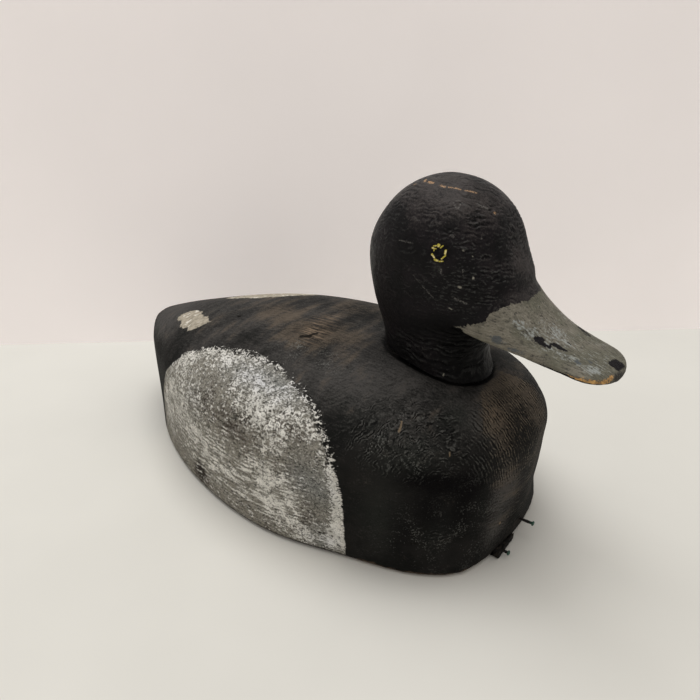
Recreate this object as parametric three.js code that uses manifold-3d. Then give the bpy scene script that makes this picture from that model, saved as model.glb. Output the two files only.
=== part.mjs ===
// Diving-duck decoy, carved from two blocks of wood and painted.
// Millimetres, +X towards the bill, +Y to the duck's left, +Z up.
// The origin is a point of the flat underside, near its middle.

import * as THREE from 'three';
import { mergeVertices } from 'three/addons/utils/BufferGeometryUtils.js';
import Module from 'manifold-3d';

const wasm = await Module();
wasm.setup();

// Body sizes

// Half of the underside's outline, from the bow's middle to the stern's middle: [x, half width].
const UNDERSIDE = [[125, 0], [123, 24], [118, 42], [100, 57], [62, 69.5], [26, 79.2], [-6, 79.8],
  [-50, 72], [-98, 53], [-131, 27.5], [-144.5, 0]];
// The same for the widest line, which lies about half-way up.
const GIRTH = [[128.5, 0], [125.5, 22], [118.5, 41], [103.5, 57.5], [70, 73], [20, 80.5], [-46, 73],
  [-97, 52], [-142, 24.5], [-162, 0]];
const GIRTH_HEIGHT = { bow: 57, side: 51, stern: 55 };
// Height of the back along the centre line, from the tail to the breast: [x, z].
const BACK_LINE = [[-161, 69], [-100, 82.5], [-30, 94.3], [40, 98.3], [100, 95], [150, 88]];
// How square the upper half is in each direction: 2 is an ellipse, more is fuller.
const FULLNESS = { bow: 2.45, side: 2.15, stern: 5 };
// Where the sections of the upper half run together, under the neck.
const TOP_CENTRE = 66;
// The underside's softened edge: how far it is drawn in, and how high it reaches.
const EDGE = { inset: 2.4, height: 1.9 };
// The shallow hollow rasped into both bow quarters, under the bulge of the breast.
const HOLLOW = { depth: 2.2, height: 20, spread: 11, bearing: 45, width: 26 };

// Neck seat and head sizes

// The plane where the neck's foot meets the body, and the point that the head is turned about.
const SEAT = { x: 68, z: 95, slope: -0.14 };
const SEAT_CUT = { height: 14, flare: 2.4 };
const HEAD_HEIGHT = 93;
const HEAD_TURN = -2.6;
// Sections of neck and head at a share of the height: [share, back x, front x, half width, widest x].
const HEAD_SECTIONS = [[0, 40.3, 102.4, 22.6, 72], [0.12, 41, 97.2, 24, 71], [0.3, 36.3, 104.4, 27, 70],
  [0.5, 32.8, 117.6, 30.4, 72], [0.7, 33.6, 112, 34.4, 74], [1, 36, 115, 34.6, 74]];
const HEAD_FULLNESS = { front: 0.66, frontSide: 0.66, backSide: 0.6, back: 0.6 };
// The crown rounds over from this share of the height.
const CROWN = { from: 0.49, fullness: 2.27 };

// Bill sizes

// The edge line runs from the root's height and falls to the tip, and the underside bellies below the lip.
const BILL = { root: 84.8, length: 81.5, edge: 124.5, fall: 11, lip: 2, belly: 3 };
// The tip rounds in plan from this share of the length, and thins to this share of the height.
const BILL_TIP = { from: 0.81, fullness: 2.4, thin: 0.35 };
// A bill section is a little fuller than an ellipse: powers of the cosine and the sine.
const BILL_ARCH = { across: 0.9, up: 0.93 };
// Sections along the bill at a share of its length: [share, half width, height of the top over the edge].
const BILL_SECTIONS = [[0, 23.2, 58], [0.2, 24.4, 41.5], [0.45, 22.4, 18.7], [0.65, 21, 9], [0.85, 20, 5.6],
  [1, 20, 4.5]];

// Strap and nail sizes

const GAP = 0.3;
// The strap's end stands out of the bow most at its right side, just over the underside's level.
const STRAP = { right: -19.5, left: 0, rightFront: 127.2, leftFront: 126.2, buried: 113 };
const STRAP_SECTION = { bottom: 0.9, top: 3.9, round: 0.5 };
// The nail's head is flat over the inner share of its radius and rounded at its rim.
const NAIL = { shank: 0.8, head: 1.75, headThick: 1.1, rim: 0.6, flat: 0.6 };
const STRAP_NAIL = { y: -14, z: 2.7, length: 3.4 };
const BOW_NAIL = { y: 8.5, z: 8.2, length: 8 };

// Mesh fineness

const BODY_POINTS = 68;
const SIDE_RINGS = 8;
const TOP_RINGS = 19;
const HEAD_POINTS = 52;
const HEAD_RINGS = 26;
const BILL_POINTS = 36;
const BILL_RINGS = 22;
// The bill's rings crowd towards its tip by this power.
const BILL_CROWDING = 1.7;
const NAIL_SIDES = 14;

// Finishes

const FINISH = {
  blackPaint: new THREE.MeshStandardMaterial({ color: 0x24221f, roughness: 0.75, metalness: 0 }),
  headPaint: new THREE.MeshStandardMaterial({ color: 0x1d1c1b, roughness: 0.5, metalness: 0 }),
  strap: new THREE.MeshStandardMaterial({ color: 0x171615, roughness: 0.8, metalness: 0 }),
  tarnish: new THREE.MeshStandardMaterial({ color: 0x3f6b50, roughness: 0.6, metalness: 0.6 }),
};

const clamp01 = (value) => Math.min(1, Math.max(0, value));
const mix = (a, b, share) => a + (b - a) * share;

// A smooth value between stations [at, value, value...], which never swings past them.
function fair(stations, at, column = 1) {
  const last = stations.length - 1;
  let i = 0;
  while (i < last - 1 && at > stations[i + 1][0]) i += 1;
  const step = (k) => stations[k + 1][0] - stations[k][0];
  const rise = (k) => (stations[k + 1][column] - stations[k][column]) / step(k);
  const slope = (k) => {
    if (k === 0) return rise(0);
    if (k === last) return rise(last - 1);
    if (rise(k - 1) * rise(k) <= 0) return 0;
    const before = 2 * step(k) + step(k - 1);
    const after = step(k) + 2 * step(k - 1);
    return (before + after) / (before / rise(k - 1) + after / rise(k));
  };
  const t = clamp01((at - stations[i][0]) / step(i));
  const ease = 3 * t ** 2 - 2 * t ** 3;
  const leave = (t ** 3 - 2 * t ** 2 + t) * step(i) * slope(i);
  const arrive = (t ** 3 - t ** 2) * step(i) * slope(i + 1);
  return mix(stations[i][column], stations[i + 1][column], ease) + leave + arrive;
}

// A closed outline through half an outline and its mirror image, as evenly spaced points.
function mirroredOutline(half, count) {
  const near = half.map(([x, y]) => new THREE.Vector3(x, y, 0));
  const far = half.slice(1, -1).reverse().map(([x, y]) => new THREE.Vector3(x, -y, 0));
  const curve = new THREE.CatmullRomCurve3([...near, ...far], true, 'centripetal');
  curve.arcLengthDivisions = 40 * count;
  return curve.getSpacedPoints(count).slice(0, count);
}

// An egg-shaped outline of four Bezier quarters, counter-clockwise from its front.
function egg(front, back, widest, half, fullness, count) {
  const reach = front - widest;
  const tail = widest - back;
  const quarters = [
    [[front, 0], [front, fullness.front * half], [widest + fullness.frontSide * reach, half], [widest, half]],
    [[widest, half], [widest - fullness.backSide * tail, half], [back, fullness.back * half], [back, 0]],
  ].map((points) => new THREE.CubicBezierCurve(...points.map((p) => new THREE.Vector2(...p))));
  return Array.from({ length: count }, (_, i) => {
    const turn = (4 * i) / count;
    const folded = turn <= 2 ? turn : 4 - turn;
    const point = quarters[folded <= 1 ? 0 : 1].getPoint(folded <= 1 ? folded : folded - 1);
    return new THREE.Vector2(point.x, turn <= 2 ? point.y : -point.y);
  });
}

// A closed mesh through rings of equal point counts, with both ends closed to a middle point.
function loft(rings, startPoint, endPoint) {
  const count = rings[0].length;
  const points = [...rings.flat(), startPoint, endPoint];
  const start = points.length - 2;
  const faces = [];
  for (let i = 0; i < count; i += 1) {
    const next = (i + 1) % count;
    faces.push(start, next, i);
    for (let ring = 0; ring < rings.length - 1; ring += 1) {
      const low = ring * count;
      const high = low + count;
      faces.push(low + i, low + next, high + next, low + i, high + next, high + i);
    }
    const top = (rings.length - 1) * count;
    faces.push(top + i, top + next, start + 1);
  }
  const geometry = new THREE.BufferGeometry().setFromPoints(points);
  geometry.setIndex(faces);
  return geometry;
}

// The same surface with its shared points joined, and without the empty faces on a lathe's axis.
function welded(source) {
  const bare = source.clone();
  bare.deleteAttribute('normal');
  bare.deleteAttribute('uv');
  const joined = mergeVertices(bare);
  const corners = joined.index.array;
  const faces = [];
  for (let i = 0; i < corners.length; i += 3) {
    const [a, b, c] = corners.slice(i, i + 3);
    if (a !== b && b !== c && c !== a) faces.push(a, b, c);
  }
  joined.setIndex(faces);
  return joined;
}

function toSolid(geometry) {
  const mesh = new wasm.Mesh({
    numProp: 3,
    vertProperties: new Float32Array(geometry.attributes.position.array),
    triVerts: new Uint32Array(geometry.index.array),
  });
  return new wasm.Manifold(mesh);
}

function toGeometry(solid) {
  const mesh = solid.getMesh();
  const geometry = new THREE.BufferGeometry();
  geometry.setAttribute('position', new THREE.Float32BufferAttribute(mesh.vertProperties, 3));
  geometry.setIndex([...mesh.triVerts]);
  geometry.computeVertexNormals();
  return geometry;
}

// A size that goes from its side value to its bow or stern value round an outline of evenly spaced points.
function bySide(sizes, index, count, sternPower) {
  const along = Math.cos((2 * Math.PI * index) / count);
  const bow = (sizes.bow - sizes.side) * Math.max(0, along) ** 2;
  const stern = (sizes.stern - sizes.side) * Math.max(0, -along) ** sternPower;
  return sizes.side + bow + stern;
}

// How far the rasped hollow lies inside the plain side at a point.
function hollowDepth(x, y, z) {
  const bearing = THREE.MathUtils.radToDeg(Math.atan2(Math.abs(y), x - TOP_CENTRE));
  const across = Math.exp(-(((bearing - HOLLOW.bearing) / HOLLOW.width) ** 2));
  const up = Math.exp(-(((z - HOLLOW.height) / HOLLOW.spread) ** 2));
  return HOLLOW.depth * across * up;
}

function bodyForm() {
  const bottom = mirroredOutline(UNDERSIDE, BODY_POINTS);
  const girth = mirroredOutline(GIRTH, BODY_POINTS);
  const widestAt = bottom.map((_, i) => bySide(GIRTH_HEIGHT, i, BODY_POINTS, 3));
  const inset = (p) => 1 - EDGE.inset / p.length();

  const rings = [bottom.map((p) => new THREE.Vector3(p.x * inset(p), p.y * inset(p), 0))];
  for (let k = 0; k < SIDE_RINGS; k += 1) {
    const share = k / SIDE_RINGS;
    rings.push(bottom.map((p, i) => {
      const x = mix(p.x, girth[i].x, share);
      const y = mix(p.y, girth[i].y, share);
      const z = mix(EDGE.height, widestAt[i], share);
      const keep = 1 - hollowDepth(x, y, z) / Math.hypot(x - TOP_CENTRE, y);
      return new THREE.Vector3(mix(TOP_CENTRE, x, keep), y * keep, z);
    }));
  }
  for (let k = 0; k < TOP_RINGS; k += 1) {
    const reach = Math.cos((k / TOP_RINGS) * (Math.PI / 2));
    rings.push(girth.map((p, i) => {
      const x = mix(TOP_CENTRE, p.x, reach);
      const rise = Math.sqrt(1 - reach ** bySide(FULLNESS, i, BODY_POINTS, 2));
      return new THREE.Vector3(x, p.y * reach, mix(widestAt[i], fair(BACK_LINE, x), rise));
    }));
  }
  const top = new THREE.Vector3(TOP_CENTRE, 0, fair(BACK_LINE, TOP_CENTRE));
  return loft(rings, new THREE.Vector3(0, 0, 0), top);
}

// Places a point of the head, whose x and y are straight ahead, where the turned head has it.
function turned(x, y, z) {
  const angle = THREE.MathUtils.degToRad(HEAD_TURN);
  const dx = x - SEAT.x;
  return new THREE.Vector3(
    SEAT.x + dx * Math.cos(angle) - y * Math.sin(angle),
    dx * Math.sin(angle) + y * Math.cos(angle),
    z,
  );
}

const seatHeight = (x) => SEAT.z + SEAT.slope * (x - SEAT.x);

// The outline of head or neck at a share of the height, before the crown draws it in.
function headOutline(share, draw = 1, grow = 0) {
  const [back, front, half, widest] = [1, 2, 3, 4].map((column) => fair(HEAD_SECTIONS, share, column));
  return egg(
    widest + (front - widest) * draw + grow,
    widest + (back - widest) * draw - grow,
    widest,
    half * draw + grow,
    HEAD_FULLNESS,
    HEAD_POINTS,
  );
}

function neckAndHead() {
  const crownDraw = (share) => {
    const over = clamp01((share - CROWN.from) / (1 - CROWN.from));
    return Math.sqrt(1 - over ** CROWN.fullness);
  };
  const rings = Array.from({ length: HEAD_RINGS }, (_, k) => {
    const share = Math.sin((k / HEAD_RINGS) * (Math.PI / 2));
    return headOutline(share, crownDraw(share)).map((p) => {
      const tilt = SEAT.slope * (p.x - SEAT.x) * (1 - share) ** 2;
      return turned(p.x, p.y, SEAT.z + tilt + share * HEAD_HEIGHT);
    });
  });
  const middle = HEAD_SECTIONS[0][4];
  const crown = HEAD_SECTIONS[HEAD_SECTIONS.length - 1][4];
  return loft(rings, turned(middle, 0, seatHeight(middle)), turned(crown, 0, SEAT.z + HEAD_HEIGHT));
}

function bill() {
  const rings = Array.from({ length: BILL_RINGS }, (_, k) => {
    const share = 1 - (1 - k / BILL_RINGS) ** BILL_CROWDING;
    const past = clamp01((share - BILL_TIP.from) / (1 - BILL_TIP.from));
    const tip = Math.sqrt(1 - past ** BILL_TIP.fullness);
    const half = fair(BILL_SECTIONS, share, 1) * tip;
    const top = fair(BILL_SECTIONS, share, 2) * mix(BILL_TIP.thin, 1, tip);
    const x = BILL.root + share * BILL.length;
    const edge = BILL.edge - BILL.fall * share;
    return Array.from({ length: BILL_POINTS }, (_, i) => {
      const angle = (2 * Math.PI * i) / BILL_POINTS;
      const across = Math.cos(angle);
      const up = Math.sin(angle);
      const y = half * Math.sign(across) * Math.abs(across) ** BILL_ARCH.across;
      const over = up >= 0 ? (top - BILL.lip) * up ** BILL_ARCH.up : -BILL.belly * Math.sqrt(-up);
      return turned(x, y, edge + BILL.lip + over);
    });
  });
  const tipX = BILL.root + BILL.length;
  const tipZ = BILL.edge - BILL.fall + BILL.lip;
  const rootZ = BILL.edge + fair(BILL_SECTIONS, 0, 2) / 2;
  return loft(rings, turned(BILL.root, 0, rootZ), turned(tipX, 0, tipZ));
}

// The block above the seat's plane, a hair wider and lower than the neck's foot.
function seatCutter() {
  const ring = (lift, grow) => headOutline(0, 1, grow).map((p) => turned(p.x, p.y, seatHeight(p.x) + lift));
  const middle = HEAD_SECTIONS[0][4];
  return loft(
    [ring(-GAP, GAP), ring(SEAT_CUT.height, GAP + SEAT_CUT.flare)],
    turned(middle, 0, seatHeight(middle) - GAP),
    turned(middle, 0, seatHeight(middle) + SEAT_CUT.height),
  );
}

// The strap's end as a flat bar that reaches into the bow, before the body trims it.
function strapBar() {
  const outline = new THREE.Shape();
  const { bottom, top, round } = STRAP_SECTION;
  outline.moveTo(STRAP.buried, STRAP.right + round);
  outline.lineTo(STRAP.rightFront, STRAP.right + round);
  outline.lineTo(STRAP.leftFront, STRAP.left - round);
  outline.lineTo(STRAP.buried, STRAP.left - round);
  outline.closePath();
  const bar = new THREE.ExtrudeGeometry(outline, {
    depth: top - bottom,
    bevelThickness: round,
    bevelSize: round,
    bevelSegments: 2,
  });
  bar.translate(0, 0, bottom);
  return bar;
}

// The x of a piece's front at a side and a height, found by a ray from ahead.
function frontOf(mesh, { y, z }) {
  const ray = new THREE.Raycaster(new THREE.Vector3(2 * UNDERSIDE[0][0], y, z), new THREE.Vector3(-1, 0, 0));
  return ray.intersectObject(mesh)[0].point.x;
}

// A round nail that stands out along +X from a piece's front, with a slightly domed head.
function nail(holder, { y, z, length }) {
  const neck = length - NAIL.headThick;
  const profile = [
    [0, 0], [NAIL.shank, 0], [NAIL.shank, neck], [NAIL.head, neck],
    [NAIL.head, neck + NAIL.rim * NAIL.headThick], [NAIL.flat * NAIL.head, length], [0, length],
  ].map(([r, h]) => new THREE.Vector2(r, h));
  const geometry = new THREE.LatheGeometry(profile, NAIL_SIDES);
  geometry.rotateZ(-Math.PI / 2);
  geometry.translate(frontOf(holder, { y, z }) + GAP, y, z);
  return welded(geometry);
}

function piece(name, geometry, material) {
  const mesh = new THREE.Mesh(geometry, material);
  mesh.name = name;
  return mesh;
}

const bodySolid = toSolid(bodyForm()).subtract(toSolid(seatCutter()));
const headSolid = toSolid(neckAndHead()).add(toSolid(bill()));
const strapSolid = toSolid(welded(strapBar())).subtract(bodySolid.translate([GAP, 0, 0]));

const body = piece('body', toGeometry(bodySolid), FINISH.blackPaint);
const head = piece('head', toGeometry(headSolid), FINISH.headPaint);
const strap = piece('line_strap', toGeometry(strapSolid), FINISH.strap);

const decoy = new THREE.Group();
decoy.add(body, head, strap);
decoy.add(piece('strap_nail', nail(strap, STRAP_NAIL), FINISH.tarnish));
decoy.add(piece('bow_nail', nail(body, BOW_NAIL), FINISH.tarnish));

export default decoy;
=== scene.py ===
"""Carved and painted wooden diving-duck decoy.

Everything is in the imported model's frame: +X towards the bill, +Y to the
duck's left, +Z up, with the floor at the flat underside. Sizes in the classes
are in millimetres, and are turned into metres where a mesh is made.
"""

import logging
import math
from dataclasses import dataclass, replace
from enum import Enum
from functools import reduce

import bmesh
import bpy
import numpy as np
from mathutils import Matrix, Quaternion, Vector, noise
from mathutils.kdtree import KDTree


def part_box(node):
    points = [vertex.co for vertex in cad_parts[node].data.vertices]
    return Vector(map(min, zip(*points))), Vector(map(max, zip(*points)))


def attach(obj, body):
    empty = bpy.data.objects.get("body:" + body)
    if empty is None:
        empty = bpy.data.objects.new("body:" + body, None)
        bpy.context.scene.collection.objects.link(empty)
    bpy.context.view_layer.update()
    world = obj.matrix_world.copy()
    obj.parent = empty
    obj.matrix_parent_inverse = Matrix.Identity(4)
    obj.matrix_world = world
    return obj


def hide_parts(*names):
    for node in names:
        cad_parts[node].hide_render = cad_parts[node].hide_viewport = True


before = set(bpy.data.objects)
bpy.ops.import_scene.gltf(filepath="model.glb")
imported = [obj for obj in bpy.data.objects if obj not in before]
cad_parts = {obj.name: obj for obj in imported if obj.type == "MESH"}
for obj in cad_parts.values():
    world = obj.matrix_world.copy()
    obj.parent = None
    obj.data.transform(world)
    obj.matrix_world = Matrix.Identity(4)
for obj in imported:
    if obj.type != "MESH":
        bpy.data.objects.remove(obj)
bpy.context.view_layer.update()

log = logging.getLogger("decoy")

MM = 0.001
TINY = 1e-6
ORIGIN = (0.0, 0.0, 0.0)
Point = tuple[float, float, float]
Socket = bpy.types.NodeSocket
Value = Socket | float | tuple[float, ...]
Area = tuple[list[bmesh.types.BMVert], int, bool]


class Turn(Enum):
    """The side of a line that is painted, seen from outside the surface."""

    LEFT = 1.0
    RIGHT = -1.0


class Channel(Enum):
    """The three sets of rasp strokes that a surface carries at once."""

    FIRST = 0
    SECOND = 1
    THIRD = 2


class Flat(Enum):
    """The directions that a painted mark's distance is measured in."""

    SIDE = (1.0, 0.0, 1.0)
    TOP = (1.0, 1.0, 0.0)
    FULL = (1.0, 1.0, 1.0)


# Noise and distances on a mesh's points


def wander(places: np.ndarray, size: float, seed: float) -> np.ndarray:
    """Give smooth random values from about -1 to 1.

    Args:
        places: Points in millimetres, one a row.
        size: Size of the smooth lumps, in millimetres.
        seed: Offset into the noise, so that two fields differ.

    Returns:
        One value a point.
    """
    moved = (places / size + seed).tolist()
    return np.array([noise.noise(place) for place in moved])


def ease(value: np.ndarray, low: float, high: float) -> np.ndarray:
    """Go smoothly from 0 at low to 1 at high."""
    share = np.clip((value - low) / (high - low), 0.0, 1.0)
    return share * share * (3.0 - 2.0 * share)


def mirrored(point: Point) -> Point:
    """Give the same point on the other side of the duck."""
    return (point[0], -point[1], point[2])


@dataclass(frozen=True)
class PaintLine:
    """The edge of a painted area, as a line of points on the surface.

    The painted area lies to one side of the line, as turn says.
    """

    points: tuple[Point, ...]
    closed: bool = False
    turn: Turn = Turn.LEFT

    def measure(self, places: np.ndarray, normals: np.ndarray) -> tuple[np.ndarray, np.ndarray]:
        """Measure how far inside the line each point lies.

        Args:
            places: Points in millimetres, one a row.
            normals: The surface's outward normals there.

        Returns:
            The distance in millimetres, more than 0 in the painted area, and
            the length along the line to the nearest place on it.
        """
        corners = np.array(self.points)
        if self.closed:
            corners = np.vstack([corners, corners[:1]])
        best = np.full(len(places), np.inf)
        sure, signed, run = np.zeros((3, len(places)))
        gone = 0.0
        for start, end in zip(corners[:-1], corners[1:]):
            leg = end - start
            length = float(np.linalg.norm(leg))
            share = np.clip((places - start) @ leg / length**2, 0.0, 1.0)
            away = places - (start + share[:, None] * leg)
            distance = np.linalg.norm(away, axis=1)
            inward = np.cross(normals, leg / length) * self.turn.value
            side = np.einsum("ij,ij->i", away, inward)
            tie = np.abs(distance - best) < TINY
            near = np.where(tie, np.abs(side) > sure, distance < best)
            best = np.where(near, distance, best)
            sure = np.where(near, np.abs(side), sure)
            signed = np.where(near, distance * np.sign(side), signed)
            run = np.where(near, gone + share * length, run)
            gone += length
        return signed, run


@dataclass(frozen=True)
class Spot:
    """A soft-edged area of the surface, such as a rubbed or a dirty place."""

    centre: Point
    reach: Point
    strength: float

    def measure(self, places: np.ndarray) -> np.ndarray:
        """Give the spot's strength at each point."""
        away = (places - np.array(self.centre)) / np.array(self.reach)
        return self.strength * np.exp(-np.sum(away**2, axis=1))

    def other_side(self, share: float) -> "Spot":
        """Give the same spot on the other side, stronger or weaker."""
        return Spot(mirrored(self.centre), self.reach, self.strength * share)


def spots(*rows: tuple[float, ...]) -> tuple[Spot, ...]:
    """Make spots from rows of a centre, a reach and a strength."""
    return tuple(Spot(row[:3], row[3:6], row[6]) for row in rows)


def both(*rows: tuple[float, ...], share: float = 0.9) -> tuple[Spot, ...]:
    """Make the right side's spots from rows, and their likes on the left."""
    right = spots(*rows)
    return right + tuple(spot.other_side(share) for spot in right)


def spread(area: tuple[Spot, ...], places: np.ndarray) -> np.ndarray:
    """Add up an area's spots at each point, from 0 to 1."""
    return np.clip(sum(spot.measure(places) for spot in area), 0.0, 1.0)


@dataclass(frozen=True)
class Strokes:
    """One set of rasp strokes: grooves side by side that fade out of a place.

    The grooves follow each other in the direction across, or ring the point
    around where that is given.
    """

    channel: Channel
    centre: Point
    reach: Point
    spacing: float
    depth: float
    across: Point = (0.0, 0.0, 1.0)
    around: Point | None = None
    sway: float = 0.8
    broken: float = 0.8

    def steps(self, places: np.ndarray) -> np.ndarray:
        """Give the distance across the grooves up to each point."""
        if self.around is None:
            return places @ np.array(self.across)
        return np.linalg.norm(places - np.array(self.around), axis=1)

    def phase(self, places: np.ndarray) -> np.ndarray:
        """Count the grooves up to each point."""
        bend, fray = (wander(places, self.spacing * k, s) for k, s in ((3.3, 3.7), (1.5, 9.1)))
        return self.steps(places) / self.spacing + self.sway * (bend + 0.6 * fray)

    def reached(self, places: np.ndarray) -> np.ndarray:
        """Give how far each point lies within the set's place, from 0 to 1."""
        away = (places - np.array(self.centre)) / np.array(self.reach)
        return ease(np.sum(away**2, axis=1), 2.0, 0.5)

    def weight(self, places: np.ndarray) -> np.ndarray:
        """Give how strongly the set shows, in short dashes.

        Args:
            places: Points in millimetres, one a row.

        Returns:
            A strength from 0 to 1 at each point.
        """
        squeezed = places + 1.6 * self.steps(places)[:, None] * np.array(self.across)
        dashes = ease(wander(squeezed, self.spacing * 3.0, 21.3), -0.28, 0.3)
        areas = ease(wander(places, self.spacing * 7.0, 33.1), -0.6, 0.1)
        kept = (1.0 - self.broken) + self.broken * dashes
        return self.reached(places) * kept * (0.35 + 0.65 * areas)

    def other_side(self) -> "Strokes":
        """Give the same set on the duck's other side."""
        names = [name for name in ("centre", "across", "around") if getattr(self, name)]
        return replace(self, **{name: mirrored(getattr(self, name)) for name in names})


@dataclass(frozen=True)
class Crease:
    """A soft change of plane left by the knife, along a line of points."""

    points: tuple[Point, ...]
    height: float
    half_width: float
    softness: float = 1.2

    def lift(self, places: np.ndarray) -> np.ndarray:
        """Give how far the crease raises each point.

        Args:
            places: Points in millimetres, one a row.

        Returns:
            The lift in millimetres at each point.
        """
        upright = np.tile((0.0, 0.0, 1.0), (len(places), 1))
        distance, _ = PaintLine(self.points).measure(places, upright)
        share = np.sqrt(distance**2 + self.softness**2) / self.half_width
        return self.height * np.clip(1.0 - share, 0.0, 1.0)


# Meshes


def points_and_normals(mesh: bpy.types.Mesh) -> tuple[np.ndarray, np.ndarray]:
    """Read a mesh's points and their outward normals.

    Args:
        mesh: The mesh.

    Returns:
        The points in millimetres and the normals, one a row.
    """
    places, normals = np.zeros((2, 3 * len(mesh.vertices)))
    mesh.vertices.foreach_get("co", places)
    mesh.vertex_normals.foreach_get("vector", normals)
    return places.reshape(-1, 3) / MM, normals.reshape(-1, 3)


def set_points(mesh: bpy.types.Mesh, places: np.ndarray) -> None:
    """Move a mesh's points to places given in millimetres."""
    mesh.vertices.foreach_set("co", (places * MM).astype(np.float32).ravel())
    mesh.update()


def store(mesh: bpy.types.Mesh, name: str, values: np.ndarray) -> None:
    """Keep one number or three numbers a point as a named attribute.

    Args:
        mesh: The mesh that gets the attribute.
        name: The attribute's name.
        values: One row a point.
    """
    kind, key = ("FLOAT", "value") if values.ndim == 1 else ("FLOAT_VECTOR", "vector")
    attribute = mesh.attributes.new(name, kind, "POINT")
    attribute.data.foreach_set(key, values.astype(np.float32).ravel())


def linked_object(name: str, work: bmesh.types.BMesh) -> bpy.types.Object:
    """Turn a shape into an object of the scene.

    Args:
        name: Name of the object and of its mesh.
        work: The shape, which is freed.

    Returns:
        The object, at the origin.
    """
    mesh = bpy.data.meshes.new(name)
    work.to_mesh(mesh)
    work.free()
    piece = bpy.data.objects.new(name, mesh)
    bpy.context.scene.collection.objects.link(piece)
    return piece


def fine_copy(node: str, name: str, voxel: float) -> bpy.types.Object:
    """Copy one of the frame's solids with small even faces.

    Args:
        node: Name of the solid.
        name: Name of the copy.
        voxel: Size of the faces, in millimetres.

    Returns:
        The copy, without a material.
    """
    work = bmesh.new()
    work.from_mesh(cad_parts[node].data)
    bmesh.ops.remove_doubles(work, verts=work.verts, dist=TINY)
    piece = linked_object(name, work)
    remesh = piece.modifiers.new("Even faces", "REMESH")
    remesh.mode = "VOXEL"
    remesh.voxel_size = voxel * MM
    coarse = piece.data
    ready = piece.evaluated_get(bpy.context.evaluated_depsgraph_get())
    piece.data = bpy.data.meshes.new_from_object(ready)
    piece.modifiers.clear()
    bpy.data.meshes.remove(coarse)
    piece.data.name = name
    piece.data.materials.clear()
    return piece


def hand_over(
    piece: bpy.types.Object, node: str, material: bpy.types.Material
) -> bpy.types.Object:
    """Dress a finished piece and tie it to the frame.

    Args:
        piece: The piece.
        node: The solid that it stands for.
        material: Its finish.

    Returns:
        The piece.
    """
    piece.data.shade_smooth()
    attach(piece, "root")
    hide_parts(node)
    piece.data.materials.append(material)
    log.info("%s: %d faces", piece.name, len(piece.data.polygons))
    return piece


# Carved blocks


@dataclass
class CarvedBlock:
    """A block of wood: a fine, worked copy of one of the frame's solids."""

    node: str
    name: str
    slot: str
    voxel: float
    smoothing: int
    strokes: tuple[Strokes, ...]
    creases: tuple[Crease, ...]
    dents: tuple[Spot, ...]
    # Masks by name, made of spots: worn, brown and dirty places, and also painted shade, painted
    # highlights and the places of painted glints.
    worn: dict[str, tuple[Spot, ...]]
    lumps: float = 0.25
    lump_size: float = 24.0
    firm_below: float = -100.0
    firm_fade: float = 4.0

    def build(self, material: bpy.types.Material) -> bpy.types.Object:
        """Copy the frame's solid, refine it evenly, carve its relief and dress it.

        Args:
            material: The block's finish.

        Returns:
            The finished object, which stands for the solid.
        """
        piece = fine_copy(self.node, self.name, self.voxel)
        self.smooth(piece.data)
        self.carve(piece.data)
        for name, values in self.masks(*points_and_normals(piece.data)).items():
            store(piece.data, name, values)
        return hand_over(piece, self.node, material)

    def smooth(self, mesh: bpy.types.Mesh) -> None:
        """Take the facets of the coarse solid out of the fine mesh.

        Args:
            mesh: The fine mesh, which is changed.
        """
        work = bmesh.new()
        work.from_mesh(mesh)
        for verts, rounds, upright in self.smoothed_areas(work):
            sideways = {"use_axis_x": not upright, "use_axis_y": not upright}
            for _ in range(rounds):
                bmesh.ops.smooth_vert(work, verts=verts, factor=0.5, use_axis_z=True, **sideways)
        work.to_mesh(mesh)
        work.free()

    def smoothed_areas(self, work: bmesh.types.BMesh) -> list[Area]:
        """List the points to smooth, how often, and if only up and down."""
        raise NotImplementedError

    def carve(self, mesh: bpy.types.Mesh) -> None:
        """Move the mesh's points by the block's lumps, creases and strokes.

        Args:
            mesh: The fine mesh, which is changed and gets the strokes'
                attributes.
        """
        places, normals = points_and_normals(mesh)
        lift = self.lumps * wander(places, self.lump_size, 5.0)
        for crease in self.creases:
            lift += crease.lift(places)
        for dent in self.dents:
            lift -= dent.measure(places)
        lift += self.extra_lift(places)
        phase, depth = self.stroke_fields(places)
        groove = 0.5 - 0.5 * np.sin(2.0 * math.pi * phase)
        lift -= (depth * groove) @ [self.shaped_share(channel) for channel in Channel]
        lift *= ease(places[:, 2], self.firm_below, self.firm_below + self.firm_fade)
        set_points(mesh, places + normals * lift[:, None])
        store(mesh, "stroke_phase", phase)
        store(mesh, "stroke_depth", depth)

    def shaped_share(self, channel: Channel) -> float:
        """Give how much of a channel's depth the mesh itself can carry."""
        widest = max(s.spacing for s in self.strokes if s.channel is channel)
        return float(np.clip(widest / (3.0 * self.voxel) - 0.6, 0.0, 1.0))

    def extra_lift(self, places: np.ndarray) -> np.ndarray:
        """Give any further relief of the block, in millimetres."""
        return np.zeros(len(places))

    def stroke_fields(self, places: np.ndarray) -> tuple[np.ndarray, np.ndarray]:
        """Work out which strokes show at each point.

        Args:
            places: Points in millimetres, one a row.

        Returns:
            The groove count and the groove depth in millimetres, with one
            column for each channel.
        """
        phase, depth = np.zeros((2, len(places), len(Channel)))
        for strokes in self.strokes:
            k = strokes.channel.value
            here = np.flatnonzero(strokes.reached(places) > 0.0)
            strength = strokes.depth * strokes.weight(places[here])
            stronger = strength > depth[here, k]
            here, strength = here[stronger], strength[stronger]
            phase[here, k] = strokes.phase(places[here])
            depth[here, k] = strength
        return phase, depth

    def masks(self, places: np.ndarray, normals: np.ndarray) -> dict[str, np.ndarray]:
        """Work out the masks that the block's finish reads.

        Args:
            places: Points in millimetres, one a row.
            normals: The surface's outward normals there; not used here.

        Returns:
            One value a point by the mask's name.
        """
        return {name: spread(area, places) for name, area in self.worn.items()}


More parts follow.
